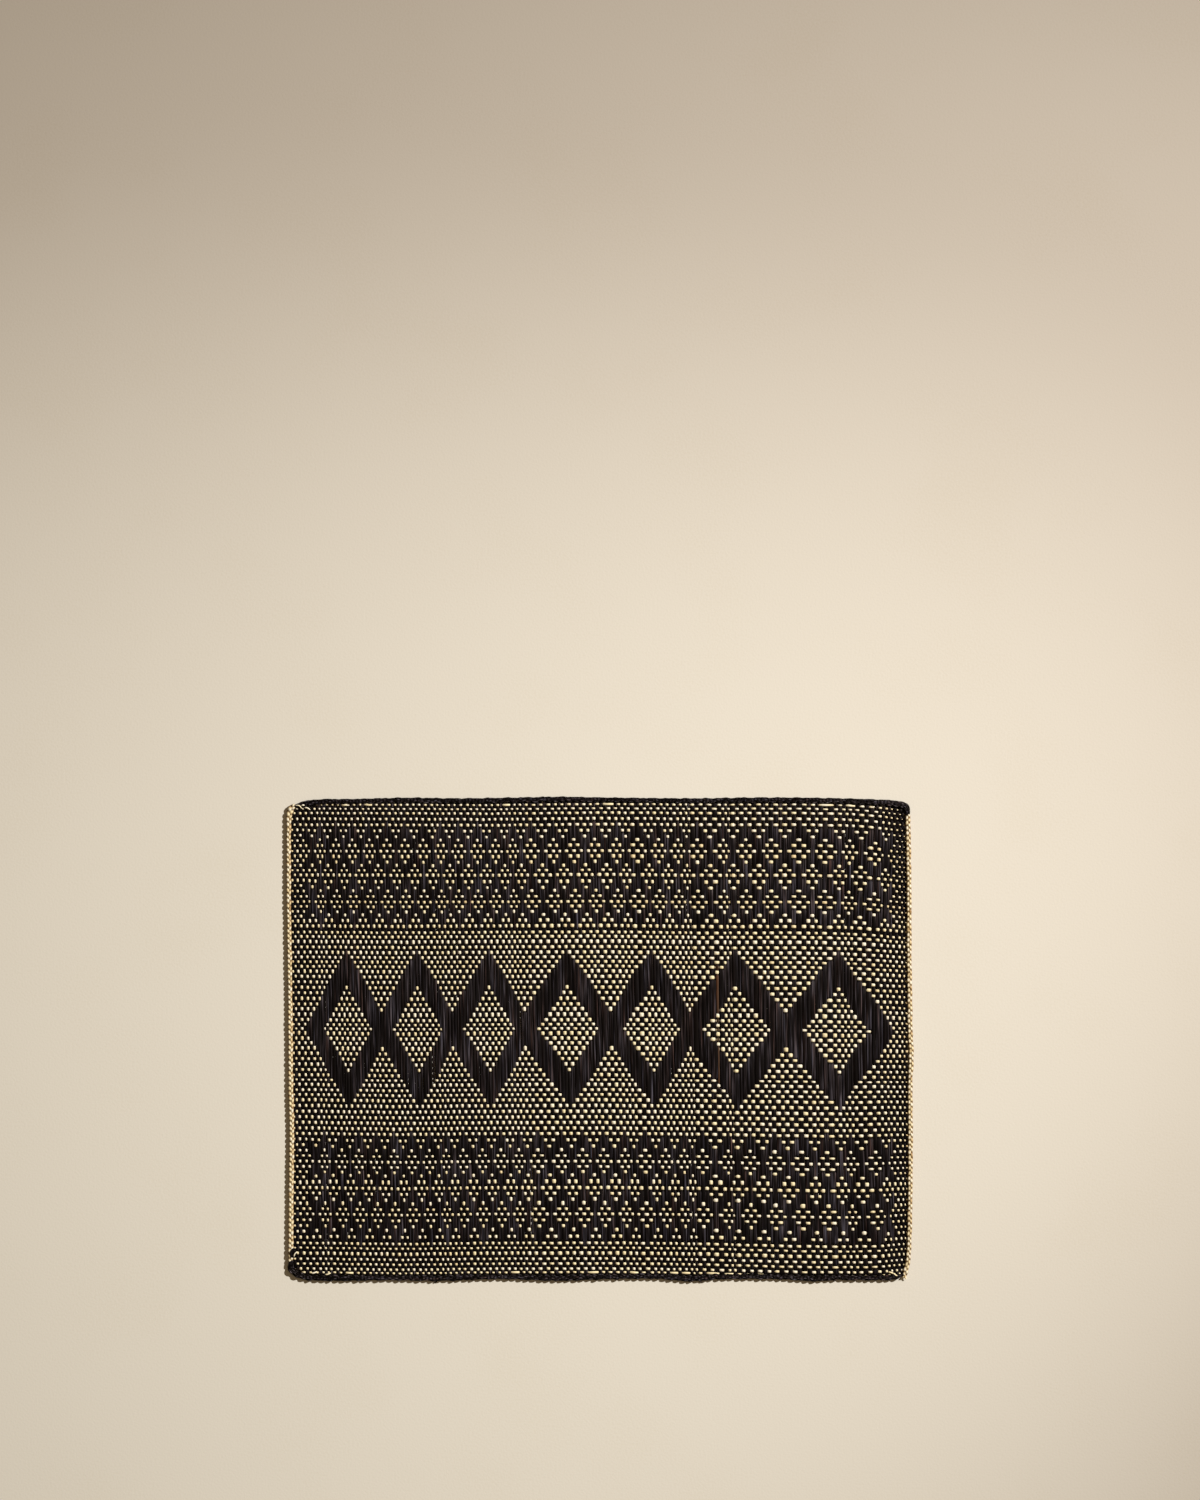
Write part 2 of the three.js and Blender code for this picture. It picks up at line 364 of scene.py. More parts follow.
# In the two outermost rows the weaver now and then skipped a black strip.
SKIP_SEED = 3
SKIP_CHANCE = 0.07
skip_random = np.random.default_rng(SKIP_SEED)
for row in (0, -1):
    natural_on_top[row] |= skip_random.random(upright_numbers.size) < SKIP_CHANCE
print("natural cells that show:", int(natural_on_top.sum()), "of", natural_on_top.size)

# %% [markdown]
# ## Laying the strips side by side
#
# Each strip gets its own width from a seeded draw, and the next one starts where it ends. An
# even grid moved about by noise would be simpler, but it leaves gaps and overlaps that a real
# weave doesn't have. Each block of the tables is then stretched to its measured length.

# %% Strip places and widths
LAYOUT_SEED = 1733
UPRIGHT_LIMITS, WEFT_LIMITS = (0.6, 1.6), (0.72, 1.3)
WEFT_UNEVEN = 0.14
WEFT_WIDE = 2.42
NARROW_TOP_ROWS = 8
EDGE_WEFTS_WIDE = (0.78, 0.82, 0.92)
WEFT_SPACE, BUNCHED_SPACE = 1.15, -0.35

layout_random = np.random.default_rng(LAYOUT_SEED)


def side_by_side(start, widths, spaces, counts, pitches):
    """Centres of strips laid side by side. A step is half of both widths and the space
    between, and each block of the table keeps the length that was measured."""
    steps = (widths[:-1] + widths[1:]) / 2 + spaces
    first = 0
    for count, pitch in zip(counts, pitches):
        block = slice(first, first + count)
        steps[block] *= count * pitch / steps[block].sum()
        first += count
    return start + np.concatenate([[0.0], np.cumsum(steps)])


def for_each_upright(column):
    """A column of the half diamonds' table, with one value for each upright."""
    values = np.repeat([half[column] for half in HALF_DIAMONDS], half_counts)
    return np.append(values, values[-1])


half_counts = [half["uprights"] for half in HALF_DIAMONDS]
draws = layout_random.normal(size=upright_numbers.size)
own_width = np.clip(1 + for_each_upright("uneven") * draws, *UPRIGHT_LIMITS)
upright_wide = for_each_upright("pitch") * own_width
even_wider = np.interp(upright_numbers, EVEN_WIDER_AT, EVEN_WIDER) / 100
upright_wide = upright_wide * (1 + np.where(upright_numbers % 2 == 0, even_wider, -even_wider))
upright_x = side_by_side(
    FIRST_UPRIGHT_X,
    upright_wide,
    np.zeros(upright_wide.size - 1),
    half_counts,
    [half["pitch"] for half in HALF_DIAMONDS],
)
upright_gap = np.diff(upright_x)
gap_share = upright_wide[1:] / (upright_wide[1:] + upright_wide[:-1])
half_left = np.append(upright_gap[0] / 2, upright_gap * gap_share)
half_right = np.append(upright_gap * (1 - gap_share), upright_gap[-1] / 2)
leans = [FIRST_LEAN] + [half["lean"] for half in HALF_DIAMONDS]
half_ends = np.cumsum([0] + half_counts)
upright_lean = np.interp(np.arange(upright_x.size), half_ends, leans)

draws = layout_random.normal(size=weft_numbers.size)
weft_wide = WEFT_WIDE * np.clip(1 + WEFT_UNEVEN * draws, *WEFT_LIMITS)
weft_wide[:NARROW_TOP_ROWS] = np.minimum(weft_wide[:NARROW_TOP_ROWS], WEFT_WIDE)
weft_wide[:len(EDGE_WEFTS_WIDE)] *= EDGE_WEFTS_WIDE
weft_wide[-1] *= EDGE_WEFTS_WIDE[0]
gap_from_middle = np.abs(weft_numbers[:-1] + 0.5)
bunched = (gap_from_middle > BAND_FIRST) & (gap_from_middle < BAND_LAST)
bunched &= (gap_from_middle - BAND_FIRST) % LOZENGE_RISE == LOZENGE_RISE / 2
weft_drop_from_first = side_by_side(
    0.0,
    weft_wide,
    np.where(bunched, BUNCHED_SPACE, WEFT_SPACE),
    [block["wefts"] for block in WEFT_BLOCKS],
    [block["pitch"] for block in WEFT_BLOCKS],
)
weft_y = FIRST_WEFT_Y - weft_drop_from_first
print("uprights from", round(upright_x[0], 1), "to", round(upright_x[-1], 1), "mm")
print("wefts from", round(weft_y[0], 1), "to", round(weft_y[-1], 1), "mm")

# %% [markdown]
# ## How high the weave stands
#
# Each strip is a thin, slightly crowned ribbon. At every crossing one ribbon is up and the
# other down, and between crossings it slopes from one to the other. A cloth simulation would
# give the same after a long time; here the height follows straight from the pattern.
# The natural leaf is the stiffer one: it rises in short, steep humps, like beads, and the
# black leaf stays lower in plain weave and stands proud only where it floats.
# The whole mat also lies a little unevenly, by a fraction of a millimetre.

# %% Heights at the crossings
STRIP_THICK = 0.34
NATURAL_UP, NATURAL_DOWN = 0.32, 0.26
BLACK_UP, BLACK_FLOAT, BLACK_DOWN = 0.14, 0.30, 0.14
DROP_SMOOTHED = 7.0
WAVINESS = 0.12
WAVES = (
    {"length": 95.0, "heading": 0.35, "start": 0.4},
    {"length": 61.0, "heading": 1.35, "start": 2.1},
    {"length": 143.0, "heading": 2.5, "start": 4.0},
)
CLEAR_OF_FLOOR = 0.6 * STRIP_THICK
weave_middle = NATURAL_DOWN + CLEAR_OF_FLOOR + len(WAVES) * WAVINESS


def lie_of_mat(x, y):
    """Height of the middle of the weave, in millimetres."""
    height = np.full(np.shape(x), weave_middle)
    for wave in WAVES:
        along = x * math.cos(wave["heading"]) + y * math.sin(wave["heading"])
        height += WAVINESS * np.sin(along * 2 * math.pi / wave["length"] + wave["start"])
    return height


def weft_drop(weft, x):
    """How far a weft has dropped at x, smoothed between the places of the table."""
    rows = [row["weft"] for row in DROP_TABLE]
    drops = np.array([row["drop"] for row in DROP_TABLE])
    here = [np.interp(weft, rows, column) for column in drops.T]
    shifts = (-DROP_SMOOTHED, 0, DROP_SMOOTHED)
    return sum(np.interp(x + shift, DROP_ACROSS, here) for shift in shifts) / len(shifts)


crossing_x = upright_x + np.outer(
    (weft_numbers - MEASURED_WEFT) / (2 * BAND_LAST), upright_lean
)
push = np.interp(upright_numbers, PUSHED_AT, PUSHED_BY)
crossing_x += np.outer((weft_numbers / BAND_LAST) ** 2, push)
in_lattice = (np.abs(weft_numbers) >= BAND_FIRST) & (np.abs(weft_numbers) <= BAND_LAST)
held = ~in_lattice | (weft_numbers % LOZENGE_RISE == 0)
even_y = np.interp(weft_numbers, weft_numbers[held], weft_y[held])
evened = np.interp(upright_numbers, EVENED_AT, EVENED)
crossing_y = weft_y[:, None] + np.outer(even_y - weft_y, evened)
for i, weft in enumerate(weft_numbers):
    crossing_y[i] -= weft_drop(weft, crossing_x[i])
print("middle of the weave", round(weave_middle, 2), "mm up, the mat's waves", WAVINESS, "mm each")

# %% [markdown]
# ## How the strips crowd each other
#
# Leaf strips are a little wider than the room they have. Where a black strip is up and its
# neighbour is down, it spreads over the neighbour, most of all where it floats, and it is
# pinched where it dives. So the natural cells look narrower than the gaps they lie in, and a
# cell alone between two floats is the narrowest and the tallest. Beside a long float a cell
# lies deeper. The weave is packed hardest at its sides, and in the top right corner.

# %% Floats and crowded places
CROWDED_AT = (-1, 5, 22, 57, 80, 100, 120, 155, 168, 176, 182)
CROWDED = (1.0, 0.3, 0.12, 0.18, -0.05, -0.17, 0.05, -0.1, 0.0, 0.4, 1.0)
CORNER_ROWS_AT, CORNER_ROWS = (-41, -30, -16), (1, 0.6, 0)
CORNER_COLUMNS_AT, CORNER_COLUMNS = (173, 180), (0, 1)
CORNER_CROWDED = 1.0


def next_to(grid, across=0, down=0):
    """The grid's value at a neighbour, with the edge's own value outside."""
    rows = np.clip(np.arange(grid.shape[0]) + down, 0, grid.shape[0] - 1)
    columns = np.clip(np.arange(grid.shape[1]) + across, 0, grid.shape[1] - 1)
    return grid[np.ix_(rows, columns)]


top_right = np.outer(
    np.interp(weft_numbers, CORNER_ROWS_AT, CORNER_ROWS),
    np.interp(upright_numbers, CORNER_COLUMNS_AT, CORNER_COLUMNS),
)
crowded = np.interp(upright_numbers, CROWDED_AT, CROWDED) + CORNER_CROWDED * top_right
black_on_top = ~natural_on_top
floats = black_on_top & (next_to(black_on_top, down=-1) | next_to(black_on_top, down=1))
lone_cell = natural_on_top & ~next_to(natural_on_top, across=-2)
lone_cell &= ~next_to(natural_on_top, across=2)
long_float = black_on_top.copy()
for down in (-2, -1, 1, 2):
    long_float &= next_to(black_on_top, down=down)
beside_float = next_to(long_float, across=-1) | next_to(long_float, across=1)
print("black floats:", int(floats.sum()), "crossings; lone natural cells:", int(lone_cell.sum()))

# %% [markdown]
# ## Strips that went wrong
#
# A few uprights are not perfect: one took the dye badly and is brown, and some are too narrow,
# so that the wefts under them shine through. Their places are given in pixels of the
# photograph, where they were found, and one function turns those into millimetres.

# %% Flawed uprights
STRIP_FLAWS = (
    {"x": 715.5, "top": 966, "bottom": 1014, "brown": 1.0, "narrow": 0.50},
    {"x": 716.5, "top": 1014, "bottom": 1086, "brown": 1.0, "narrow": 0.72},
    {"x": 435.0, "top": 1050, "bottom": 1084, "brown": 0.0, "narrow": 0.34},
    {"x": 422.5, "top": 1076, "bottom": 1094, "brown": 0.0, "narrow": 0.30},
    {"x": 523.0, "top": 1004, "bottom": 1042, "brown": 0.0, "narrow": 0.30},
    {"x": 532.0, "top": 1166, "bottom": 1238, "brown": 0.0, "narrow": 0.34},
)


def photo_place(x, y):
    """A place in the photograph, from pixels to millimetres on the mat."""
    return (x - MAT_MIDDLE_PIXEL[0]) * MM_PER_PIXEL, (MAT_MIDDLE_PIXEL[1] - y) * MM_PER_PIXEL


flaw_brown = np.zeros(crossing_x.shape)
flaw_narrow = np.zeros(crossing_x.shape)
for flaw in STRIP_FLAWS:
    flaw_x, flaw_top = photo_place(flaw["x"], flaw["top"])
    flaw_bottom = photo_place(flaw["x"], flaw["bottom"])[1]
    flawed = (weft_y < flaw_top) & (weft_y > flaw_bottom)
    strip = np.abs(crossing_x[flawed].mean(axis=0) - flaw_x).argmin()
    flaw_brown[flawed, strip] = flaw["brown"]
    flaw_narrow[flawed, strip] = flaw["narrow"]
print("crossings of too narrow uprights:", int((flaw_narrow > 0).sum()))

# %% [markdown]
# ## Width, height and tone at every crossing
#
# What was found out above now decides how far each black strip reaches to its left and right,
# and how tall and how high each natural cell is. Over the brown strip its neighbours close
# up. The last columns lie half under the side plaits, and are thin, and they and the top right
# corner get painted shade in the cells' tone. A little seeded chance goes over it all, because
# no two crossings on the mat are alike.

# %% Spread of the strips at each crossing
CROWDING_SEED = 7
SHORT_SPREAD, FLOAT_SPREAD, SNUG, PINCHED = 1.01, 1.09, 1.02, 0.86
CROWD_SPREAD, CROWD_SINK = 0.36, 0.32
# The top right corner gets painted shade in the cells' tone, and thinner cells.
CORNER_PAINTED_SHADE, CORNER_THIN = 0.3, 0.5
UNDER_PLAIT_AT = (-1, 0, 1, 179, 181, 182)
UNDER_PLAIT = (0.7, 0.3, 0.0, 0.0, 0.6, 1.0)
# The last columns under the side plaits get painted shade in their tone, and thinner cells.
UNDER_PLAIT_PAINTED_SHADE, UNDER_PLAIT_THIN = 0.4, 0.4
LONE_CELL_TALL, BESIDE_FLOAT_SINK = 1.12, 0.45
REACH_UNEVEN, TALL_UNEVEN, HEIGHT_UNEVEN, TONE_UNEVEN = 0.035, 0.06, 0.10, 0.08

crowding_random = np.random.default_rng(CROWDING_SEED)


def side_reach(across):
    """How far black strips reach to one side at each crossing, in half widths."""
    spread = np.where(floats, FLOAT_SPREAD, SHORT_SPREAD)
    spread = spread * (1 + CROWD_SPREAD * crowded)
    over = np.where(next_to(natural_on_top, across=across), spread, SNUG)
    reach = np.where(black_on_top, over, PINCHED) * (1 - flaw_narrow)
    closing = flaw_narrow * flaw_brown * upright_wide
    reach = reach + next_to(closing, across=across) / upright_wide
    return reach + REACH_UNEVEN * crowding_random.normal(size=reach.shape)


reach_left = side_reach(-1)
reach_right = side_reach(1)
natural_tall = np.where(lone_cell, LONE_CELL_TALL, 1.0)
natural_tall = natural_tall + TALL_UNEVEN * crowding_random.normal(size=natural_tall.shape)
under_plait = np.interp(upright_numbers, UNDER_PLAIT_AT, UNDER_PLAIT)
natural_tall = natural_tall * (1 - CORNER_THIN * top_right) * (1 - UNDER_PLAIT_THIN * under_plait)
natural_up = NATURAL_UP * (1 - CROWD_SINK * crowded) * (1 - BESIDE_FLOAT_SINK * beside_float)
natural_height = np.where(natural_on_top, natural_up, -NATURAL_DOWN)
draws = crowding_random.uniform(-1, 1, natural_height.shape)
natural_height = natural_height * (1 + HEIGHT_UNEVEN * draws)
black_height = np.where(floats, BLACK_FLOAT, np.where(black_on_top, BLACK_UP, -BLACK_DOWN))
draws = crowding_random.normal(size=natural_height.shape)
# The cells' tone: random, with painted shade at the top right and under the side plaits.
cell_tone_and_painted_shade = TONE_UNEVEN * draws - CORNER_PAINTED_SHADE * top_right - UNDER_PLAIT_PAINTED_SHADE * under_plait
print("black strips reach", round(float(reach_left.mean()), 2), "half widths to the left")

# %% [markdown]
# ## Where the strips end
#
# On the real mat each strip runs on into the plait beside it. The CAD panel already has the
# mat's uneven outline, so a level line is cast onto its side from outside, and a strip runs
# from one such hit to the other and a little further, tucked under the plaits. Typing the
# outline in here as well would make a second copy of it, which could go wrong.

# %% Edges of the woven panel, read from the CAD model
RAY_START = 0.3
RAY_HEIGHT = 0.8 * MM
CORNER_CLEAR = 1.2
TUCK = 1.1

scene_state = bpy.context.evaluated_depsgraph_get()
panel_tree = BVHTree.FromObject(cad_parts["woven_panel"], scene_state)
panel_low, panel_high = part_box("woven_panel")


def panel_edge(point, inwards):
    """Where a level line from outside first meets the panel, in millimetres."""
    start = Vector((point[0] * MM, point[1] * MM, RAY_HEIGHT)) - RAY_START * Vector(inwards)
    return panel_tree.ray_cast(start, Vector(inwards))[0] / MM


def weft_ends(y):
    """Left and right end of a weft at height y, tucked under the plaits."""
    level = np.clip(y, panel_low.y / MM + CORNER_CLEAR, panel_high.y / MM - CORNER_CLEAR)
    left = panel_edge((0, level), (1, 0, 0)).x
    right = panel_edge((0, level), (-1, 0, 0)).x
    return left - TUCK, right + TUCK


def upright_ends(x):
    """Top and bottom end of an upright at x, tucked under the plaits."""
    level = np.clip(x, panel_low.x / MM + CORNER_CLEAR, panel_high.x / MM - CORNER_CLEAR)
    top = panel_edge((level, 0), (0, -1, 0)).y
    bottom = panel_edge((level, 0), (0, 1, 0)).y
    return top + TUCK, bottom - TUCK


print("a weft in the middle runs from", *(round(end, 1) for end in weft_ends(0.0)), "mm")

# %% [markdown]
# ## Making ribbons
#
# Each of some 275 strips has its own order of over and under, with thousands of bends in
# all. An array modifier or an operator can't give that, so the ribbons are made from arrays
# of points. At every station along a ribbon there are six points round it: a crowned top and
# a shallow keel below. Two values go with the points: the strip's own tone, and its painted
# light level, from 0 where it dives and gets painted shade to 1 on top.

# %% Ribbons
NATURAL_SECTION = {
    "across": (-1.0, -0.60, 0.0, 0.60, 1.0, 0.0),
    "up": (-0.30, 0.34, 0.60, 0.34, -0.30, -0.50),
    "painted_light": (1.0, 1.0, 1.0, 1.0, 1.0, 1.0),
}
# The black strip's edges and keel get painted shade, by the last row of numbers.
BLACK_SECTION = {
    "across": (-1.0, -0.80, 0.08, 0.80, 1.0, 0.0),
    "up": (-0.10, 0.40, 0.50, 0.40, -0.10, -0.50),
    "painted_light": (0.4, 1.0, 1.0, 1.0, 0.4, 0.6),
}


def unit(vectors):
    """The same directions, each with a length of one."""
    return vectors / np.linalg.norm(vectors, axis=1)[:, None]


def running_length(line):
    """How far along a line each of its points is."""
    return np.concatenate([[0], np.cumsum(np.linalg.norm(np.diff(line, axis=0), axis=1))])


def ribbon(path, reach, thick, section, tone, turn, painted_light_level):
    """One ribbon: rings of its section along a path, with ends closed by one face each.
    The reach is a pair of half widths, for the right and the left of the way ahead."""
    ahead = unit(np.gradient(path, axis=0))
    across = unit(np.cross(ahead, (0.0, 0.0, 1.0)))
    up = np.cross(across, ahead)
    rolled = across * np.cos(turn)[:, None] + up * np.sin(turn)[:, None]
    lifted = up * np.cos(turn)[:, None] - across * np.sin(turn)[:, None]
    # Painted shade: the section's shares darken a strip's sides and keel, the levels its dips.
    out, rise, painted_light_across = (np.array(section[name]) for name in ("across", "up", "painted_light"))
    sideways = np.where(out > 0, reach[0][:, None], reach[1][:, None]) * out
    offsets = rolled[:, None, :] * sideways[:, :, None]
    offsets += lifted[:, None, :] * (thick * rise)[None, :, None]
    length = running_length(path)
    return {
        "points": path[:, None, :] + offsets,
        "uv": np.stack([np.repeat(length, out.size), sideways.ravel()], axis=1),
        "tone": np.repeat(np.broadcast_to(tone, length.shape), out.size),
        "painted_light_level": (painted_light_level[:, None] * painted_light_across).ravel(),
    }


print("a ribbon has", len(NATURAL_SECTION["across"]), "points at every station")

# %% [markdown]
# ## Joining ribbons
#
# All the ribbons of one kind become one mesh. Its faces are the quads between one station and
# the next, and a cap at either end, so that it is closed. The UVs run in metres along and
# across each ribbon, so that the leaf's fibres can follow it, and each ribbon starts at a
# random place of the pattern, so that no two look alike.

# %% Joined meshes
UV_SPREAD = 4000


def joined_mesh(name, ribbons, random):
    """All the ribbons as one object, with UVs in metres, tones and painted light levels."""
    points, uvs, quads, caps = [], [], [], []
    first = 0
    for one in ribbons:
        stations, sides = one["points"].shape[:2]
        points.append(one["points"].reshape(-1, 3))
        uvs.append(one["uv"] + random.uniform(0, UV_SPREAD, 2))
        ring = np.arange(sides)
        row = first + np.arange(stations - 1)[:, None] * sides
        here, beside = row + ring, row + (ring + 1) % sides
        quads.append(np.stack([here, beside, beside + sides, here + sides], 2).reshape(-1, 4))
        caps.append((first + ring)[::-1])
        caps.append(first + (stations - 1) * sides + ring)
        first += stations * sides
    points = np.concatenate(points) * MM
    faces = np.concatenate(quads).tolist() + [cap.tolist() for cap in caps]
    mesh = bpy.data.meshes.new(name)
    mesh.from_pydata(points.tolist(), [], faces)
    uv = np.concatenate(uvs) * MM
    corner = np.empty(len(mesh.loops), np.int32)
    mesh.loops.foreach_get("vertex_index", corner)
    mesh.uv_layers.new(name="strip").data.foreach_set("uv", uv[corner].ravel())
    for name_of in ("tone", "painted_light_level"):
        values = np.concatenate([one[name_of] for one in ribbons]).astype(np.float32)
        mesh.attributes.new(name_of, "FLOAT", "POINT").data.foreach_set("value", values)
    mesh.polygons.foreach_set("use_smooth", np.ones(len(mesh.polygons), bool))
    mesh.update()
    made = bpy.data.objects.new(name, mesh)
    bpy.context.scene.collection.objects.link(made)
    triangles = sum(len(face) - 2 for face in faces)
    print(name, "has", len(ribbons), "ribbons and", triangles, "triangles")
    return made


print("each ribbon's pattern starts within", UV_SPREAD * MM, "m")

# %% [markdown]
# ## Stations and waves
#
# Both kinds of strips need the same three things: the places where they are level, because
# they bend between those, a slow random wave, because no strip is ruler straight, and an end.

# %% Stations, waves and ends
WANDER_SHARES = (1.0, 0.57, 0.31)
WANDER_PEAK = 1.2


def stations_along(is_up, numbers, level_up, level_down):
    """Places along a strip, in strip numbers, and which crossing each belongs to. A strip
    that changes sides is level for a little way at each crossing, and a float needs one
    place for each."""
    places, owners = [], []
    for i, number in enumerate(numbers):
        level = level_up[i] if is_up[i] else level_down[i]
        before = i == 0 or is_up[i - 1] != is_up[i]
        after = i == len(numbers) - 1 or is_up[i + 1] != is_up[i]
        if before:
            places.append(number - level)
            owners.append(i)
        if not before and not after:
            places.append(number)
            owners.append(i)
        if after:
            places.append(number + level)
            owners.append(i)
    return np.array(places), np.array(owners)


def wander(random, places, length, amount):
    """A smooth random wave along a strip: three sine waves on top of each other."""
    total = np.zeros(places.size)
    for share in WANDER_SHARES:
        start = random.uniform(0, 2 * math.pi)
        total += share * np.sin(places * 2 * math.pi / (length * share) + start)
    return amount * total / WANDER_PEAK


def with_ends(values, end):
    """Values along a strip, with one more at each end."""
    return np.concatenate([[end], values, [end]])


print("waves of a strip, as shares of the longest:", WANDER_SHARES)

# %% [markdown]
# ## The natural wefts
#
# A weft is a strip of undyed leaf, about 2.4 mm wide, and pale straw in colour. It humps over
# a black strip and lies low the rest of the way, so it is level only briefly when up. It is
# cut off where it goes under the side plaits.

# %% Wefts
WEFT_SEED = 44
WEFT_LEVEL_UP, WEFT_LEVEL_DOWN = 0.22, 0.50
LONGER_AT = (11, 33, 57, 80, 100, 120, 140, 155, 167)
LONGER_BY = (-0.03, -0.015, -0.02, 0.015, 0.03, 0.0, -0.005, 0.03, 0.0)
# Where a weft dives it keeps this share of its colour; the rest is painted shade.
WEFT_DIP_PAINTED_LIGHT = 0.3
WEFT_FULL_AT = (-220, -100, 20, 110, 200)
WEFT_FULLNESS = (0.96, 0.98, 1.03, 1.0, 0.90)
ROW_FULL_AT = (-44, -39, -36, -20, -10, 6, 14, 19, 23, 27, 31, 37, 40, 46)
ROW_FULLNESS = (0.83, 0.86, 0.96, 0.99, 1.0, 0.98, 0.90, 0.90, 0.92, 0.92, 1.02, 1.02, 0.84, 0.79)
WIDEST_IN_GAP = 0.97
MIDDLE_TONE, WEFT_TONES = 0.5, 0.10
WEFT_WAVES = {
    "place": {"length": 34.0, "amount": 0.10},
    "width": {"length": 21.0, "amount": 0.05},
    "roll": {"length": 47.0, "amount": 0.05},
}

# A strip's stations stop this far, in millimetres, before its ends, which are this narrow.
END_STRETCH, END_SHARE = 0.6, 0.8

weft_random = np.random.default_rng(WEFT_SEED)
longer = np.interp(upright_numbers, LONGER_AT, LONGER_BY)
weft_ribbons = []
for i, weft in enumerate(weft_numbers):
    places, owners = stations_along(
        natural_on_top[i], upright_numbers, WEFT_LEVEL_UP + longer, WEFT_LEVEL_DOWN - longer
    )
    x = np.interp(places, upright_numbers, crossing_x[i])
    y = np.interp(places, upright_numbers, crossing_y[i])
    y = y + wander(weft_random, x, **WEFT_WAVES["place"])
    gaps = np.abs(np.diff(weft_y[max(i - 1, 0):i + 2]))
    half = 0.5 * min(weft_wide[i], WIDEST_IN_GAP * gaps.min())
    half = half * np.interp(weft, ROW_FULL_AT, ROW_FULLNESS)
    half_width = half * np.interp(x, WEFT_FULL_AT, WEFT_FULLNESS) * natural_tall[i, owners]
    half_width = half_width * (1 + wander(weft_random, x, **WEFT_WAVES["width"]))
    z = lie_of_mat(x, y) + natural_height[i, owners]
    left, right = weft_ends(y[0])[0], weft_ends(y[-1])[1]
    kept = (x > left + END_STRETCH) & (x < right - END_STRETCH)
    path = np.stack([x, y, z], axis=1)[kept]
    start, end = (left, path[0, 1], weave_middle), (right, path[-1, 1], weave_middle)
    path = np.vstack([start, path, end])
    half_width = with_ends(half_width[kept], END_SHARE * half)
    turn = wander(weft_random, path[:, 0], **WEFT_WAVES["roll"])
    tone = weft_random.normal(MIDDLE_TONE, WEFT_TONES)
    # The cells' tone brings their painted shade into the weft.
    tone = tone + np.pad(cell_tone_and_painted_shade[i, owners][kept], 1, mode="edge")
    # Painted shade where the weft dives under the black strips.
    painted_light_level = np.where(np.pad(natural_on_top[i, owners][kept], 1), 1.0, WEFT_DIP_PAINTED_LIGHT)
    weft_ribbons.append(
        ribbon(path, (half_width, half_width), STRIP_THICK, NATURAL_SECTION, tone, turn, painted_light_level)
    )
middle_weft = len(weft_ribbons) // 2
wefts_upper = joined_mesh("wefts_upper", weft_ribbons[:middle_weft], weft_random)
wefts_lower = joined_mesh("wefts_lower", weft_ribbons[middle_weft:], weft_random)

# %% [markdown]
# ## The black uprights
#
# The uprights lie almost shoulder to shoulder. Over a diamond's ring they float over as many
# as fifteen wefts at once, and such a float stands a little prouder in its middle.

# %% Uprights
UPRIGHT_SEED = 184
UPRIGHT_LEVEL_UP, UPRIGHT_LEVEL_DOWN = 0.30, 0.33
FLOAT_CROWN, SHORTEST_CROWNED = 0.18, 4
# The brown strip keeps at least this much of its colour where it dives, against the painted shade.
BROWN_TONE, BROWN_LEAST_PAINTED_LIGHT = 3.0, 0.4
FLOAT_TILT, SHORT_TILT, LEAST_ROLL = 0.12, 0.04, 0.6
# A short black crossing keeps this share of its colour; the rest is painted shade.
SHORT_CROSSING_PAINTED_LIGHT = 0.25
EDGE_SWAY = 0.9
UPRIGHT_TONES = 0.17
UPRIGHT_WAVES = {
    "place": {"length": 55.0, "amount": 0.05},
    "roll": {"length": 70.0, "amount": 0.5},
    "tone": {"length": 50.0, "amount": 0.12},
}

upright_random = np.random.default_rng(UPRIGHT_SEED)


def float_crown(is_up):
    """How far along its rise a float is: none at its ends, 1 in its middle."""
    crown = np.zeros(is_up.size)
    first = 0
    for i in range(1, is_up.size + 1):
        if i == is_up.size or is_up[i] != is_up[first]:
            count = i - first
            if is_up[first] and count >= SHORTEST_CROWNED:
                crown[first:i] = np.sin(np.linspace(0, math.pi, count))
            first = i
    return crown


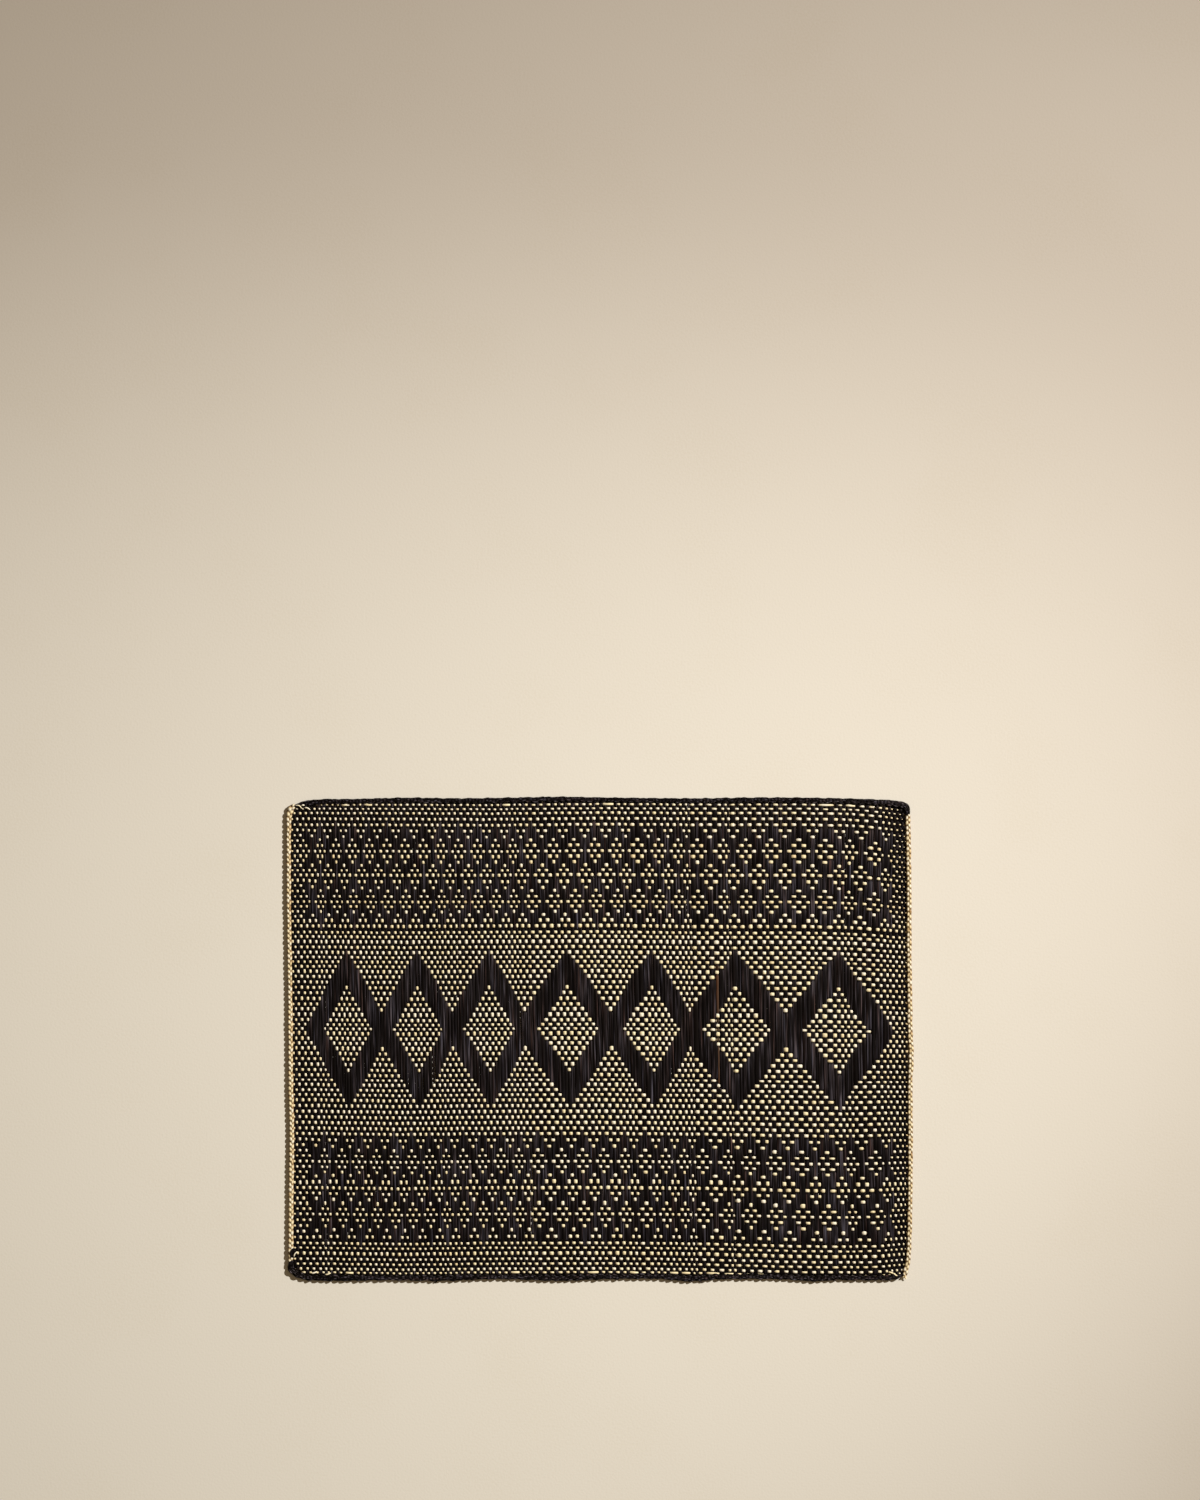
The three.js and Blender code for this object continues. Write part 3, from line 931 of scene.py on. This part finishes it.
level_up = np.full(weft_numbers.size, UPRIGHT_LEVEL_UP)
level_down = np.full(weft_numbers.size, UPRIGHT_LEVEL_DOWN)
upright_ribbons = []
for i in range(upright_numbers.size):
    places, owners = stations_along(black_on_top[:, i], weft_numbers, level_up, level_down)
    x = np.interp(places, weft_numbers, crossing_x[:, i])
    y = np.interp(places, weft_numbers, crossing_y[:, i])
    x = x + wander(upright_random, y, **UPRIGHT_WAVES["place"])
    half = 0.5 * (half_left[i] + half_right[i])
    to_left = half_left[i] * reach_left[owners, i]
    to_right = half_right[i] * reach_right[owners, i]
    crown = float_crown(black_on_top[owners, i])
    z = lie_of_mat(x, y) + black_height[owners, i] + FLOAT_CROWN * crown
    top, bottom = upright_ends(x[0])[0], upright_ends(x[-1])[1]
    kept = (y < top - END_STRETCH) & (y > bottom + END_STRETCH)
    path = np.stack([x, y, z], axis=1)[kept]
    sway = EDGE_SWAY * upright_random.normal(size=2)
    start = (path[0, 0] + sway[0], top, weave_middle)
    end = (path[-1, 0] + sway[1], bottom, weave_middle)
    path = np.vstack([start, path, end])
    to_left = with_ends(to_left[kept], END_SHARE * half)
    to_right = with_ends(to_right[kept], END_SHARE * half)
    afloat = np.pad(floats[owners, i][kept].astype(float), 1, mode="edge")
    roll = np.where(afloat > 0, FLOAT_TILT, SHORT_TILT) / half * upright_random.choice((-1, 1))
    roll = roll * (LEAST_ROLL + wander(upright_random, path[:, 1], **UPRIGHT_WAVES["roll"]))
    on_top = np.pad(black_on_top[owners, i][kept].astype(float), 1)
    brown = np.pad(flaw_brown[owners, i][kept], 1)
    # Painted shade: dark where the upright dives, mostly dark on short crossings.
    painted_light_level = on_top * (SHORT_CROSSING_PAINTED_LIGHT + (1 - SHORT_CROSSING_PAINTED_LIGHT) * afloat)
    painted_light_level = np.maximum(painted_light_level, BROWN_LEAST_PAINTED_LIGHT * brown)
    tone = upright_random.normal(MIDDLE_TONE, UPRIGHT_TONES)
    tone = tone + wander(upright_random, path[:, 1], **UPRIGHT_WAVES["tone"])
    tone = tone + BROWN_TONE * brown
    upright_ribbons.append(
        ribbon(path, (to_left, to_right), STRIP_THICK, BLACK_SECTION, tone, roll, painted_light_level)
    )
middle_upright = len(upright_ribbons) // 2
uprights_left = joined_mesh("uprights_left", upright_ribbons[:middle_upright], upright_random)
uprights_right = joined_mesh("uprights_right", upright_ribbons[middle_upright:], upright_random)

# %% [markdown]
# ## The plaited edges
#
# Each edge is a flat plait of three strands. A strand swings from side to side, and goes over
# and under the others twice in every swing, so its height waves twice as fast as its place
# across. Three such strands, a third of a turn apart, make a plait without touching.
# The course and the width of each plait are read off its CAD part: lines are cast across the
# rim of the mat, from outside and from inside, and the two hits are the plait's edges.

# %% The rim of the mat and the plaits' courses
RIM_STEP = 1.0
RIM_HALF_WIDE, RIM_HALF_TALL, RIM_ROUND = 222.6, 171.4, 9.0
RIM_REACH = 8.5
RIM_CORNER_POINTS = 15
LINE_SMOOTHED = 2
RAY_HEIGHT_AT_RIM = 0.25 * MM
RIM_BREAK = 20


def rim_places():
    """Points round the mat's rim with their outward directions, clockwise from the left end
    of the top edge, as straight sides and quarter circles."""
    corners = ((1, 1, 90), (1, -1, 0), (-1, -1, -90), (-1, 1, -180))
    places = []
    inner_wide, inner_tall = RIM_HALF_WIDE - RIM_ROUND, RIM_HALF_TALL - RIM_ROUND
    for number, (side_x, side_y, angle) in enumerate(corners):
        centre = np.array([side_x * inner_wide, side_y * inner_tall])
        for turn in np.radians(angle - np.linspace(0, 90, RIM_CORNER_POINTS)):
            outward = np.array([math.cos(turn), math.sin(turn)])
            places.append((centre + RIM_ROUND * outward, outward))
        next_x, next_y, _ = corners[(number + 1) % 4]
        ahead = np.array([next_x * inner_wide, next_y * inner_tall])
        count = int(np.linalg.norm(ahead - centre) / RIM_STEP)
        for share in np.linspace(0, 1, count)[1:-1]:
            places.append((centre + (ahead - centre) * share + RIM_ROUND * outward, outward))
    return places


def plait_course(node):
    """Middle line and width of a plait's CAD part, from one end to the other. The places
    can start in the middle of a plait, so what comes after a break in them is put first."""
    tree_of_part = BVHTree.FromObject(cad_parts[node], scene_state)
    found = []
    for number, (point, outward) in enumerate(rim_places()):
        middle = Vector((*(point * MM), RAY_HEIGHT_AT_RIM))
        away = Vector((*outward, 0))
        outer = tree_of_part.ray_cast(middle + away * RIM_REACH * MM, -away, 2 * RIM_REACH * MM)[0]
        inner = tree_of_part.ray_cast(middle - away * RIM_REACH * MM, away, 2 * RIM_REACH * MM)[0]
        if outer is not None and inner is not None:
            found.append((number, np.array(outer)[:2] / MM, np.array(inner)[:2] / MM))
    numbers = [one[0] for one in found]
    breaks = [i for i in range(1, len(numbers)) if numbers[i] - numbers[i - 1] > RIM_BREAK]
    if breaks:
        found = found[breaks[0]:] + found[:breaks[0]]
    outer = np.array([one[1] for one in found])
    inner = np.array([one[2] for one in found])
    return (outer + inner) / 2, np.linalg.norm(outer - inner, axis=1)


def line_at(wanted, places, line):
    """Points of a line at the wanted places, between the places of its own points."""
    return np.stack([np.interp(wanted, places, column) for column in line.T], axis=1)


def resampled(line, values, step):
    """A line and its values at even steps along its length."""
    length = running_length(line)
    even = np.linspace(0, length[-1], max(8, int(length[-1] / step)))
    return even, line_at(even, length, line), np.interp(even, length, values)


def smoothed(values, reach):
    """A running mean that keeps its ends."""
    padded = np.concatenate([[values[0]] * reach, values, [values[-1]] * reach])
    kernel = np.ones(2 * reach + 1) / (2 * reach + 1)
    return np.convolve(padded, kernel, mode="valid")


def smoothed_line(line):
    """A line with its corners rounded off a little."""
    return np.stack([smoothed(column, LINE_SMOOTHED) for column in line.T], axis=1)


print(len(rim_places()), "places round the rim, about", RIM_STEP, "mm apart")

# %% [markdown]
# ## Three strands to a plait
#
# A strand is an oval, and its lower sides get painted shade. In the black plaits each strand is
# split into three strips side by side, which gives the fine lines along them. Where a strand
# comes over the others its tone is raised, a painted highlight, sharply in the black leaf.
# Where it dips under them it gets painted shade. Every strand wavers in pace, place, width,
# height and tone, as a hand makes it.

# %% Sizes and waves of the plaits
STRANDS = 3
STRAND_SIDES = 8

# The lower sides of a strand get painted shade, where the others lie against them.
strand_turns = np.linspace(math.pi, 3 * math.pi, STRAND_SIDES + 1)[:-1]
STRAND_SECTION = {
    "across": [math.cos(turn) for turn in strand_turns],
    "up": [-0.5 * math.sin(turn) for turn in strand_turns],
    "painted_light": [min(1.0, max(0.0, -0.05 - 1.3 * math.sin(turn))) for turn in strand_turns],
}
# In each kind, the glint numbers raise the tone at a strand's crest: a painted highlight.
PLAIT_KINDS = {
    "black_strip": {
        "stitch": 4.9, "splits": 3, "tone": 0.20, "crest": 1.40, "glint_sharpness": 8, "sway": 0.20
    },
    "natural_strip": {
        "stitch": 3.65, "splits": 1, "tone": -0.02, "crest": 1.10, "glint_sharpness": 2, "sway": 0.06
    },
}
# The last number of a row is the share of its colour a strand keeps halfway up its swing; the rest is
# painted shade.
PLAITS = (
    {"node": "plait_top", "kind": "black_strip", "tall": 2.4, "strand": 0.36, "painted_light": 0.55},
    {"node": "plait_right", "kind": "natural_strip", "tall": 2.3, "strand": 0.25, "painted_light": 0.1},
    {"node": "plait_bottom", "kind": "black_strip", "tall": 2.5, "strand": 0.36, "painted_light": 0.55},
    {"node": "plait_left", "kind": "natural_strip", "tall": 2.5, "strand": 0.27, "painted_light": 0.15},
)
PLAIT_ENDS = (
    {"node": "plait_top", "fuller": 0.6, "inwards": 0.0, "start_reach": 3.4, "end_reach": 1.7},
    {"node": "plait_right", "fuller": 0.45, "inwards": 0.1, "start_reach": 1.7, "end_reach": 1.7},
    {"node": "plait_bottom", "fuller": 0.2, "inwards": 0.0, "start_reach": 1.7, "end_reach": 1.7},
    {"node": "plait_left", "fuller": 0.1, "inwards": 0.0, "start_reach": 1.7, "end_reach": 0.4},
)
PLAIT_WAVES = {
    "pace": {"length": 60.0, "amount": 0.02},
    "swing": {"length": 17.0, "amount": 0.06},
    "place": {"length": 14.0, "amount": 0.10},
    "width": {"length": 13.0, "amount": 0.14},
    "height": {"length": 9.0, "amount": 0.09},
    "tone": {"length": 8.0, "amount": 0.18},
    "crest": {"length": 11.0, "amount": 0.5},
}
SWAY_LENGTH = 13.0
print("a natural plait has a stitch every", PLAIT_KINDS["natural_strip"]["stitch"], "mm")

# %% [markdown]
# ## Laying the strands
#
# The course is cut into even steps, and each strand gets its place across, its height and its
# tone at every step. The tanh makes a swing dwell at its sides and cross quickly, as a flat
# leaf does when it folds over. A curve with a bevel would make round cords instead.

# %% Strands of a plait
STATIONS_PER_STITCH, WIDTH_SMOOTHED = 6, 4
END_WIDTH, END_DIRECTION = 0.6, 6
SWING_SQUARE, LIFT_SQUARE = 1.8, 2.2
STRAND_THICK, STRAND_FULL, FLOOR_CLEAR = 0.56, 1.12, 0.02
PAINTED_LIGHT_SWING, STRAND_TONES, LEAST_PAINTED_GLINT = 0.9, 0.08, 0.6


def lengthened(line, values, start_reach, end_reach):
    """A line drawn out a little past both ends, where it narrows."""
    out = [line[0] - line[END_DIRECTION], line[-1] - line[-1 - END_DIRECTION]]
    first = line[0] + start_reach * out[0] / np.linalg.norm(out[0])
    last = line[-1] + end_reach * out[1] / np.linalg.norm(out[1])
    ends = values[0] * END_WIDTH, values[-1] * END_WIDTH
    return np.vstack([first, line, last]), np.concatenate([ends[:1], values, ends[1:]])


def plait_ribbons(course, widths, plait, random):
    """Three strands of a plait along its course, each of a few strips side by side."""
    stitch, tall, splits = plait["stitch"], plait["tall"], plait["splits"]
    course, widths = lengthened(
        course, widths + plait["fuller"], plait["start_reach"], plait["end_reach"]
    )
    along, line, wide = resampled(course, widths, stitch / STATIONS_PER_STITCH)
    line, wide = smoothed_line(line), smoothed(wide, WIDTH_SMOOTHED)
    ahead = unit(np.gradient(line, axis=0))
    beside = np.stack([-ahead[:, 1], ahead[:, 0]], axis=1)
    line = line - beside * plait["inwards"]
    half_strand = plait["strand"] * wide
    swing = wide / 2 - half_strand
    strand_thick = STRAND_THICK * tall
    lift = (tall - strand_thick) / 2
    pace = 1 + wander(random, along, **PLAIT_WAVES["pace"])
    phase = np.cumsum((along[1] - along[0]) * pace)
    phase *= 2 * math.pi / (STRANDS * stitch)
    sway = wander(random, along, SWAY_LENGTH, plait["sway"])
    made = []
    for number in range(STRANDS):
        turn = phase + number * 2 * math.pi / STRANDS
        rise = np.sin(2 * turn)
        across = np.tanh(SWING_SQUARE * np.sin(turn)) / math.tanh(SWING_SQUARE)
        sideways = sway + swing * across * (1 + wander(random, along, **PLAIT_WAVES["swing"]))
        sideways = sideways + wander(random, along, **PLAIT_WAVES["place"])
        height = tall / 2 + lift * np.tanh(LIFT_SQUARE * rise)
        # Painted shade where the strand dips under the others.
        painted_light_level = np.clip(plait["painted_light"] + PAINTED_LIGHT_SWING * rise, 0, 1)
        for split in range(splits):
            aside = half_strand * (2 * split + 1 - splits) / splits
            fuller = STRAND_FULL + wander(random, along, **PLAIT_WAVES["width"])
            half_width = half_strand / splits * fuller
            flat = line + beside * (sideways + aside)[:, None]
            own_height = height + wander(random, along, **PLAIT_WAVES["height"])
            own_height = np.maximum(own_height, 0.5 * strand_thick + FLOOR_CLEAR)
            path = np.concatenate([flat, own_height[:, None]], axis=1)
            tone = plait["tone"] + random.normal(0, STRAND_TONES)
            tone = tone + wander(random, along, **PLAIT_WAVES["tone"])
            # Painted highlight: the tone is raised where a strand comes over the others.
            crest = np.clip(rise, 0, 1) ** plait["glint_sharpness"]
            crest = crest * (LEAST_PAINTED_GLINT + wander(random, along, **PLAIT_WAVES["crest"]))
            tone = tone + plait["crest"] * np.clip(crest, 0, 1)
            reach = (half_width, half_width)
            level = np.zeros(along.size)
            made.append(ribbon(path, reach, strand_thick, STRAND_SECTION, tone, level, painted_light_level))
    return made


print("a strand is", STRAND_THICK, "of its plait's height")

# %% [markdown]
# ## All four edges
#
# Each plait has its own row in the tables, which is joined here with what holds for its kind
# of leaf. Its course comes from its own CAD part, and its strands become one mesh.

# %% The four plaits
PLAIT_SEED = 5

plait_pieces = {}
for number, (row, ends) in enumerate(zip(PLAITS, PLAIT_ENDS)):
    random = np.random.default_rng(PLAIT_SEED + number)
    plait = {**PLAIT_KINDS[row["kind"]], **row, **ends}
    course, widths = plait_course(plait["node"])
    strands = plait_ribbons(course, widths, plait, random)
    made = joined_mesh(plait["node"] + "_strands", strands, random)
    plait_pieces[plait["node"]] = made
    print(plait["node"], "is", round(float(widths.mean()), 2), "mm wide on average")

# %% [markdown]
# ## Loose ends at the corners
#
# Where a plait ends, a few strips run on: they cross the first rows at a slant, or curl round
# the corner. They are what shows that the mat was made by hand. Each is a ribbon laid along a
# few points, given in pixels of the photograph, and lifted off the weave.

# %% Loose ends
LOOSE_NATURAL = (
    {"wide": 0.9, "high": 2.6, "x": (295.6, 298.2, 300.4, 302.0), "y": (805.6, 805.1, 806.2, 808.6)},
    {"wide": 1.2, "high": 2.7, "x": (302.0, 303.3, 304.6), "y": (805.5, 805.0, 805.3)},
    {"wide": 1.0, "high": 2.2, "x": (304.8, 306.6, 308.6, 310.4), "y": (807.7, 807.6, 808.3, 809.8)},
    {"wide": 1.0, "high": 2.2, "x": (294.2, 294.6, 295.8, 297.6), "y": (1256.2, 1254.0, 1252.4, 1251.2)},
    {"wide": 1.2, "high": 2.0, "x": (311.6, 314.0, 317.2), "y": (1272.8, 1272.6, 1271.2)},
    {"wide": 1.1, "high": 2.0, "x": (325.4, 328.0, 331.0), "y": (1274.4, 1273.8, 1272.6)},
    {"wide": 1.2, "high": 2.0, "x": (888.0, 890.6, 893.4), "y": (1271.6, 1272.0, 1273.2)},
    {"wide": 1.2, "high": 2.0, "x": (893.6, 895.6, 897.8), "y": (1273.6, 1275.0, 1275.4)},
    {"wide": 1.2, "high": 1.6, "x": (905.4, 905.2, 905.9), "y": (1275.6, 1277.4, 1279.0)},
    {"wide": 1.0, "high": 2.6, "x": (869.6, 871.6, 874.4), "y": (807.6, 807.2, 806.6)},
)
LOOSE_BLACK = (
    {"wide": 1.5, "high": 2.7, "x": (295.0, 292.2, 290.9, 291.8), "y": (1247.6, 1249.4, 1253.2, 1257.6)},
    {"wide": 1.3, "high": 2.5, "x": (295.4, 293.6, 292.5, 293.2), "y": (1249.6, 1250.8, 1253.4, 1258.0)},
    {"wide": 0.8, "high": 0.8, "x": (437.6, 436.2, 433.8), "y": (1280.4, 1281.8, 1282.6)},
    {"wide": 0.7, "high": 0.8, "x": (698.0, 700.2, 702.4), "y": (1280.2, 1281.4, 1282.2)},
)
LOOSE_SEED = 12
LOOSE_THICK, LOOSE_TONES = 0.5, 0.1
LOOSE_LET_DOWN, LOOSE_NARROWED = 0.5, 0.3
LOOSE_FINER = 4


def loose_ribbons(table, section, random):
    """A ribbon through the points of each row, smoothed, with both ends let down."""
    made = []
    for row in table:
        points = np.stack(photo_place(np.array(row["x"]), np.array(row["y"])), axis=1)
        given = np.linspace(0, 1, len(points))
        fine = np.linspace(0, 1, LOOSE_FINER * len(points))
        line = smoothed_line(line_at(fine, given, points))
        to_end = np.abs(2 * fine - 1)
        height = row["high"] - LOOSE_LET_DOWN * to_end ** 3
        half = 0.5 * row["wide"] * (1 - LOOSE_NARROWED * to_end ** 2)
        path = np.concatenate([line, height[:, None]], axis=1)
        tone = random.normal(MIDDLE_TONE, LOOSE_TONES)
        flat = np.zeros(fine.size)
        made.append(ribbon(path, (half, half), LOOSE_THICK, section, tone, flat, flat + 1))
    return made


loose_random = np.random.default_rng(LOOSE_SEED)
loose_natural = joined_mesh(
    "loose_natural_ends", loose_ribbons(LOOSE_NATURAL, NATURAL_SECTION, loose_random), loose_random
)
loose_black = joined_mesh(
    "loose_black_ends", loose_ribbons(LOOSE_BLACK, BLACK_SECTION, loose_random), loose_random
)

# %% [markdown]
# ## What both leaves share
#
# Palm leaf has fine parallel fibres, and all its patterns are drawn out along the strip. The
# UV map runs along it in metres, so a spot's length and width are written as they are on the
# leaf. The real fibres are finer than a tenth of a millimetre, which would not show, so they
# are drawn as coarse as they need to be, 0.28 mm wide. Both leaves get painted shade where
# they dive.

# %% Helpers for the leaf
FIBRE_WIDE, FIBRE_RELIEF = 0.28 * MM, 0.08 * MM
FIBRE_LONG = 26 * FIBRE_WIDE
FIBRE_DETAIL, BROAD_DETAIL = 3.0, 2.0

# A mix node has sockets for every type of value. These are the numbers of those for colours.
MIX_AMOUNT, MIX_FIRST, MIX_SECOND, MIX_RESULT = 0, 6, 7, 2


def leaf_pattern(tree, strip_uv, long, wide, detail):
    """A noise drawn out along the strip, from the real length and width of its spots."""
    place = add_node(
        tree, "ShaderNodeMapping", {"Vector": strip_uv, "Scale": (1 / long, 1 / wide, 1.0)}
    ).outputs["Vector"]
    noise = add_node(
        tree, "ShaderNodeTexNoise", {"Vector": place, "Scale": 1.0, "Detail": detail}
    )
    return noise.outputs["Fac"]


def tinted(tree, colour, pattern, stops, amount):
    """A colour multiplied by a tint that changes with a pattern."""
    tint = add_node(tree, "ShaderNodeValToRGB", {"Fac": pattern})
    set_stops(tint, stops)
    mixed = add_node(
        tree,
        "ShaderNodeMix",
        {MIX_AMOUNT: amount, MIX_FIRST: colour, MIX_SECOND: tint.outputs["Color"]},
        data_type="RGBA",
        blend_type="MULTIPLY",
    )
    return mixed.outputs[MIX_RESULT]


def painted_shade_in_dips(tree, colour, shade_colour):
    """A colour as it is on top of the weave, going to a painted shade colour where the strip dives."""
    # Painted shade: the colour goes to the shade colour where the painted light level is low.
    painted_light_level = add_node(tree, "ShaderNodeAttribute", attribute_name="painted_light_level").outputs["Fac"]
    mixed = add_node(
        tree,
        "ShaderNodeMix",
        {MIX_AMOUNT: painted_light_level, MIX_FIRST: linear_colour(shade_colour), MIX_SECOND: colour},
        data_type="RGBA",
    )
    return mixed.outputs[MIX_RESULT]


print("fibres", round(FIBRE_WIDE / MM, 2), "mm wide and", round(FIBRE_LONG / MM, 1), "mm long")

# %% [markdown]
# ## The undyed leaf
#
# Undyed, the leaf is pale straw with a low natural sheen. It is mottled, and some strips are
# warmer than others, so a soft mottle and the strip's own tone together choose its colour
# from a ramp. The tone also carries painted shade and painted highlights. The fibres tint it
# and stand up a little, which breaks up the highlights.

# %% Natural palm leaf
MOTTLE_LONG, MOTTLE_WIDE = 9.0 * MM, 4.0 * MM
MOTTLE_WEIGHT, FIBRE_WEIGHT = 0.9, 0.6

palm, tree, shader = new_material("undyed_palm_leaf_split")
strip_uv = add_node(tree, "ShaderNodeUVMap", uv_map="strip").outputs["UV"]
fibres = leaf_pattern(tree, strip_uv, FIBRE_LONG, FIBRE_WIDE, FIBRE_DETAIL)
mottle = leaf_pattern(tree, strip_uv, MOTTLE_LONG, MOTTLE_WIDE, BROAD_DETAIL)
tone = add_node(tree, "ShaderNodeAttribute", attribute_name="tone").outputs["Fac"]
shade = add_node(
    tree, "ShaderNodeMath", {0: mottle, 1: MOTTLE_WEIGHT, 2: tone}, operation="MULTIPLY_ADD"
)
straw = add_node(tree, "ShaderNodeValToRGB", {"Fac": shade.outputs[0]})
set_stops(
    straw,
    [
        (0.10, "#a3814b"),
        (0.38, "#e4ce9e"),
        (0.75, "#faefc4"),
        (0.98, "#fdf6d3"),
        (1.00, "#fffbe6"),
    ],
)
# Painted shade: the weft goes to a dark brown where it dives.
colour = painted_shade_in_dips(tree, straw.outputs["Color"], "#755731")
colour = tinted(tree, colour, fibres, [(0.32, "#d6c4a0"), (0.52, "#ffffff")], FIBRE_WEIGHT)
relief = add_node(
    tree, "ShaderNodeBump", {"Height": fibres, "Strength": 0.5, "Distance": FIBRE_RELIEF}
)
tree.links.new(colour, shader.inputs["Base Color"])
tree.links.new(relief.outputs["Normal"], shader.inputs["Normal"])
shader.inputs["Roughness"].default_value = 0.55
shader.inputs["Specular IOR Level"].default_value = 0.4
print(palm.name, "is made of", len(tree.nodes), "nodes")

# %% [markdown]
# ## The dyed leaf
#
# The black leaf has long streaks, darker and lighter. The lighter ones are painted sheen in its
# colour, and they are the smoother ones, so the same pattern steers the colour, the gloss and a
# broad relief.
# Over it lies a slow, faint change from a bluish to a brownish black. The end of the tones is
# a brown, for the strip that took the dye badly.

# %% Black-dyed palm leaf
STREAK_LONG, STREAK_WIDE, STREAK_RELIEF = 32.0 * MM, 0.9 * MM, 0.3 * MM
HUE_LONG, HUE_WIDE = 60.0 * MM, 3.0 * MM
TONE_WEIGHT = 0.22

dyed, tree, shader = new_material("black_dyed_palm_leaf")
strip_uv = add_node(tree, "ShaderNodeUVMap", uv_map="strip").outputs["UV"]
fibres = leaf_pattern(tree, strip_uv, FIBRE_LONG, FIBRE_WIDE, FIBRE_DETAIL)
streaks = leaf_pattern(tree, strip_uv, STREAK_LONG, STREAK_WIDE, BROAD_DETAIL)
hue = leaf_pattern(tree, strip_uv, HUE_LONG, HUE_WIDE, BROAD_DETAIL)
tone = add_node(tree, "ShaderNodeAttribute", attribute_name="tone").outputs["Fac"]
shade = add_node(
    tree, "ShaderNodeMath", {0: tone, 1: TONE_WEIGHT, 2: streaks}, operation="MULTIPLY_ADD"
)
black = add_node(tree, "ShaderNodeValToRGB", {"Fac": shade.outputs[0]})
# The grey stops are painted sheen, on the lighter streaks and the plaits' crests.
set_stops(
    black,
    [
        (0.50, "#030202"),
        (0.62, "#0d0a0b"),
        (0.70, "#272327"),
        (0.86, "#58535a"),
        (0.95, "#58535a"),
        (1.00, "#4e3a2c"),
    ],
)
hue_stops = [(0.38, "#e8f2ff"), (0.52, "#ffffff"), (0.66, "#ffd9c2")]
colour = tinted(tree, black.outputs["Color"], hue, hue_stops, 1.0)
# Painted shade: near black where an upright dives, and on short crossings and strip edges.
colour = painted_shade_in_dips(tree, colour, "#020101")
sheen = add_node(
    tree,
    "ShaderNodeMapRange",
    {"Value": streaks, "From Min": 0.4, "From Max": 0.65, "To Min": 0.55, "To Max": 0.38},
)
broad_relief = add_node(
    tree, "ShaderNodeBump", {"Height": streaks, "Strength": 0.6, "Distance": STREAK_RELIEF}
).outputs["Normal"]
relief = add_node(
    tree,
    "ShaderNodeBump",
    {"Height": fibres, "Normal": broad_relief, "Strength": 0.5, "Distance": FIBRE_RELIEF},
)
tree.links.new(colour, shader.inputs["Base Color"])
tree.links.new(sheen.outputs["Result"], shader.inputs["Roughness"])
tree.links.new(relief.outputs["Normal"], shader.inputs["Normal"])
shader.inputs["Specular IOR Level"].default_value = 0.16
shader.inputs["Specular Tint"].default_value = linear_colour("#e6d6d2")
print(dyed.name, "is made of", len(tree.nodes), "nodes")

# %% [markdown]
# ## Which piece is what
#
# Every piece gets its leaf and is attached to the root, which it moves with. The weave is soft
# on the real mat. The plain CAD parts that the pieces stand for are hidden.

natural_pieces = [wefts_upper, wefts_lower, loose_natural]
natural_pieces += [plait_pieces["plait_left"], plait_pieces["plait_right"]]
black_pieces = [uprights_left, uprights_right, loose_black]
black_pieces += [plait_pieces["plait_top"], plait_pieces["plait_bottom"]]
for piece in natural_pieces:
    piece.data.materials.append(palm)
    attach(piece, "root")
for piece in black_pieces:
    piece.data.materials.append(dyed)
    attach(piece, "root")
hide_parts("woven_panel")
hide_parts("woven_panel")
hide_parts("woven_panel")
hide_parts("woven_panel")
for node, piece in plait_pieces.items():
    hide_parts(node)

print(len(natural_pieces), "natural and", len(black_pieces), "black pieces declared")
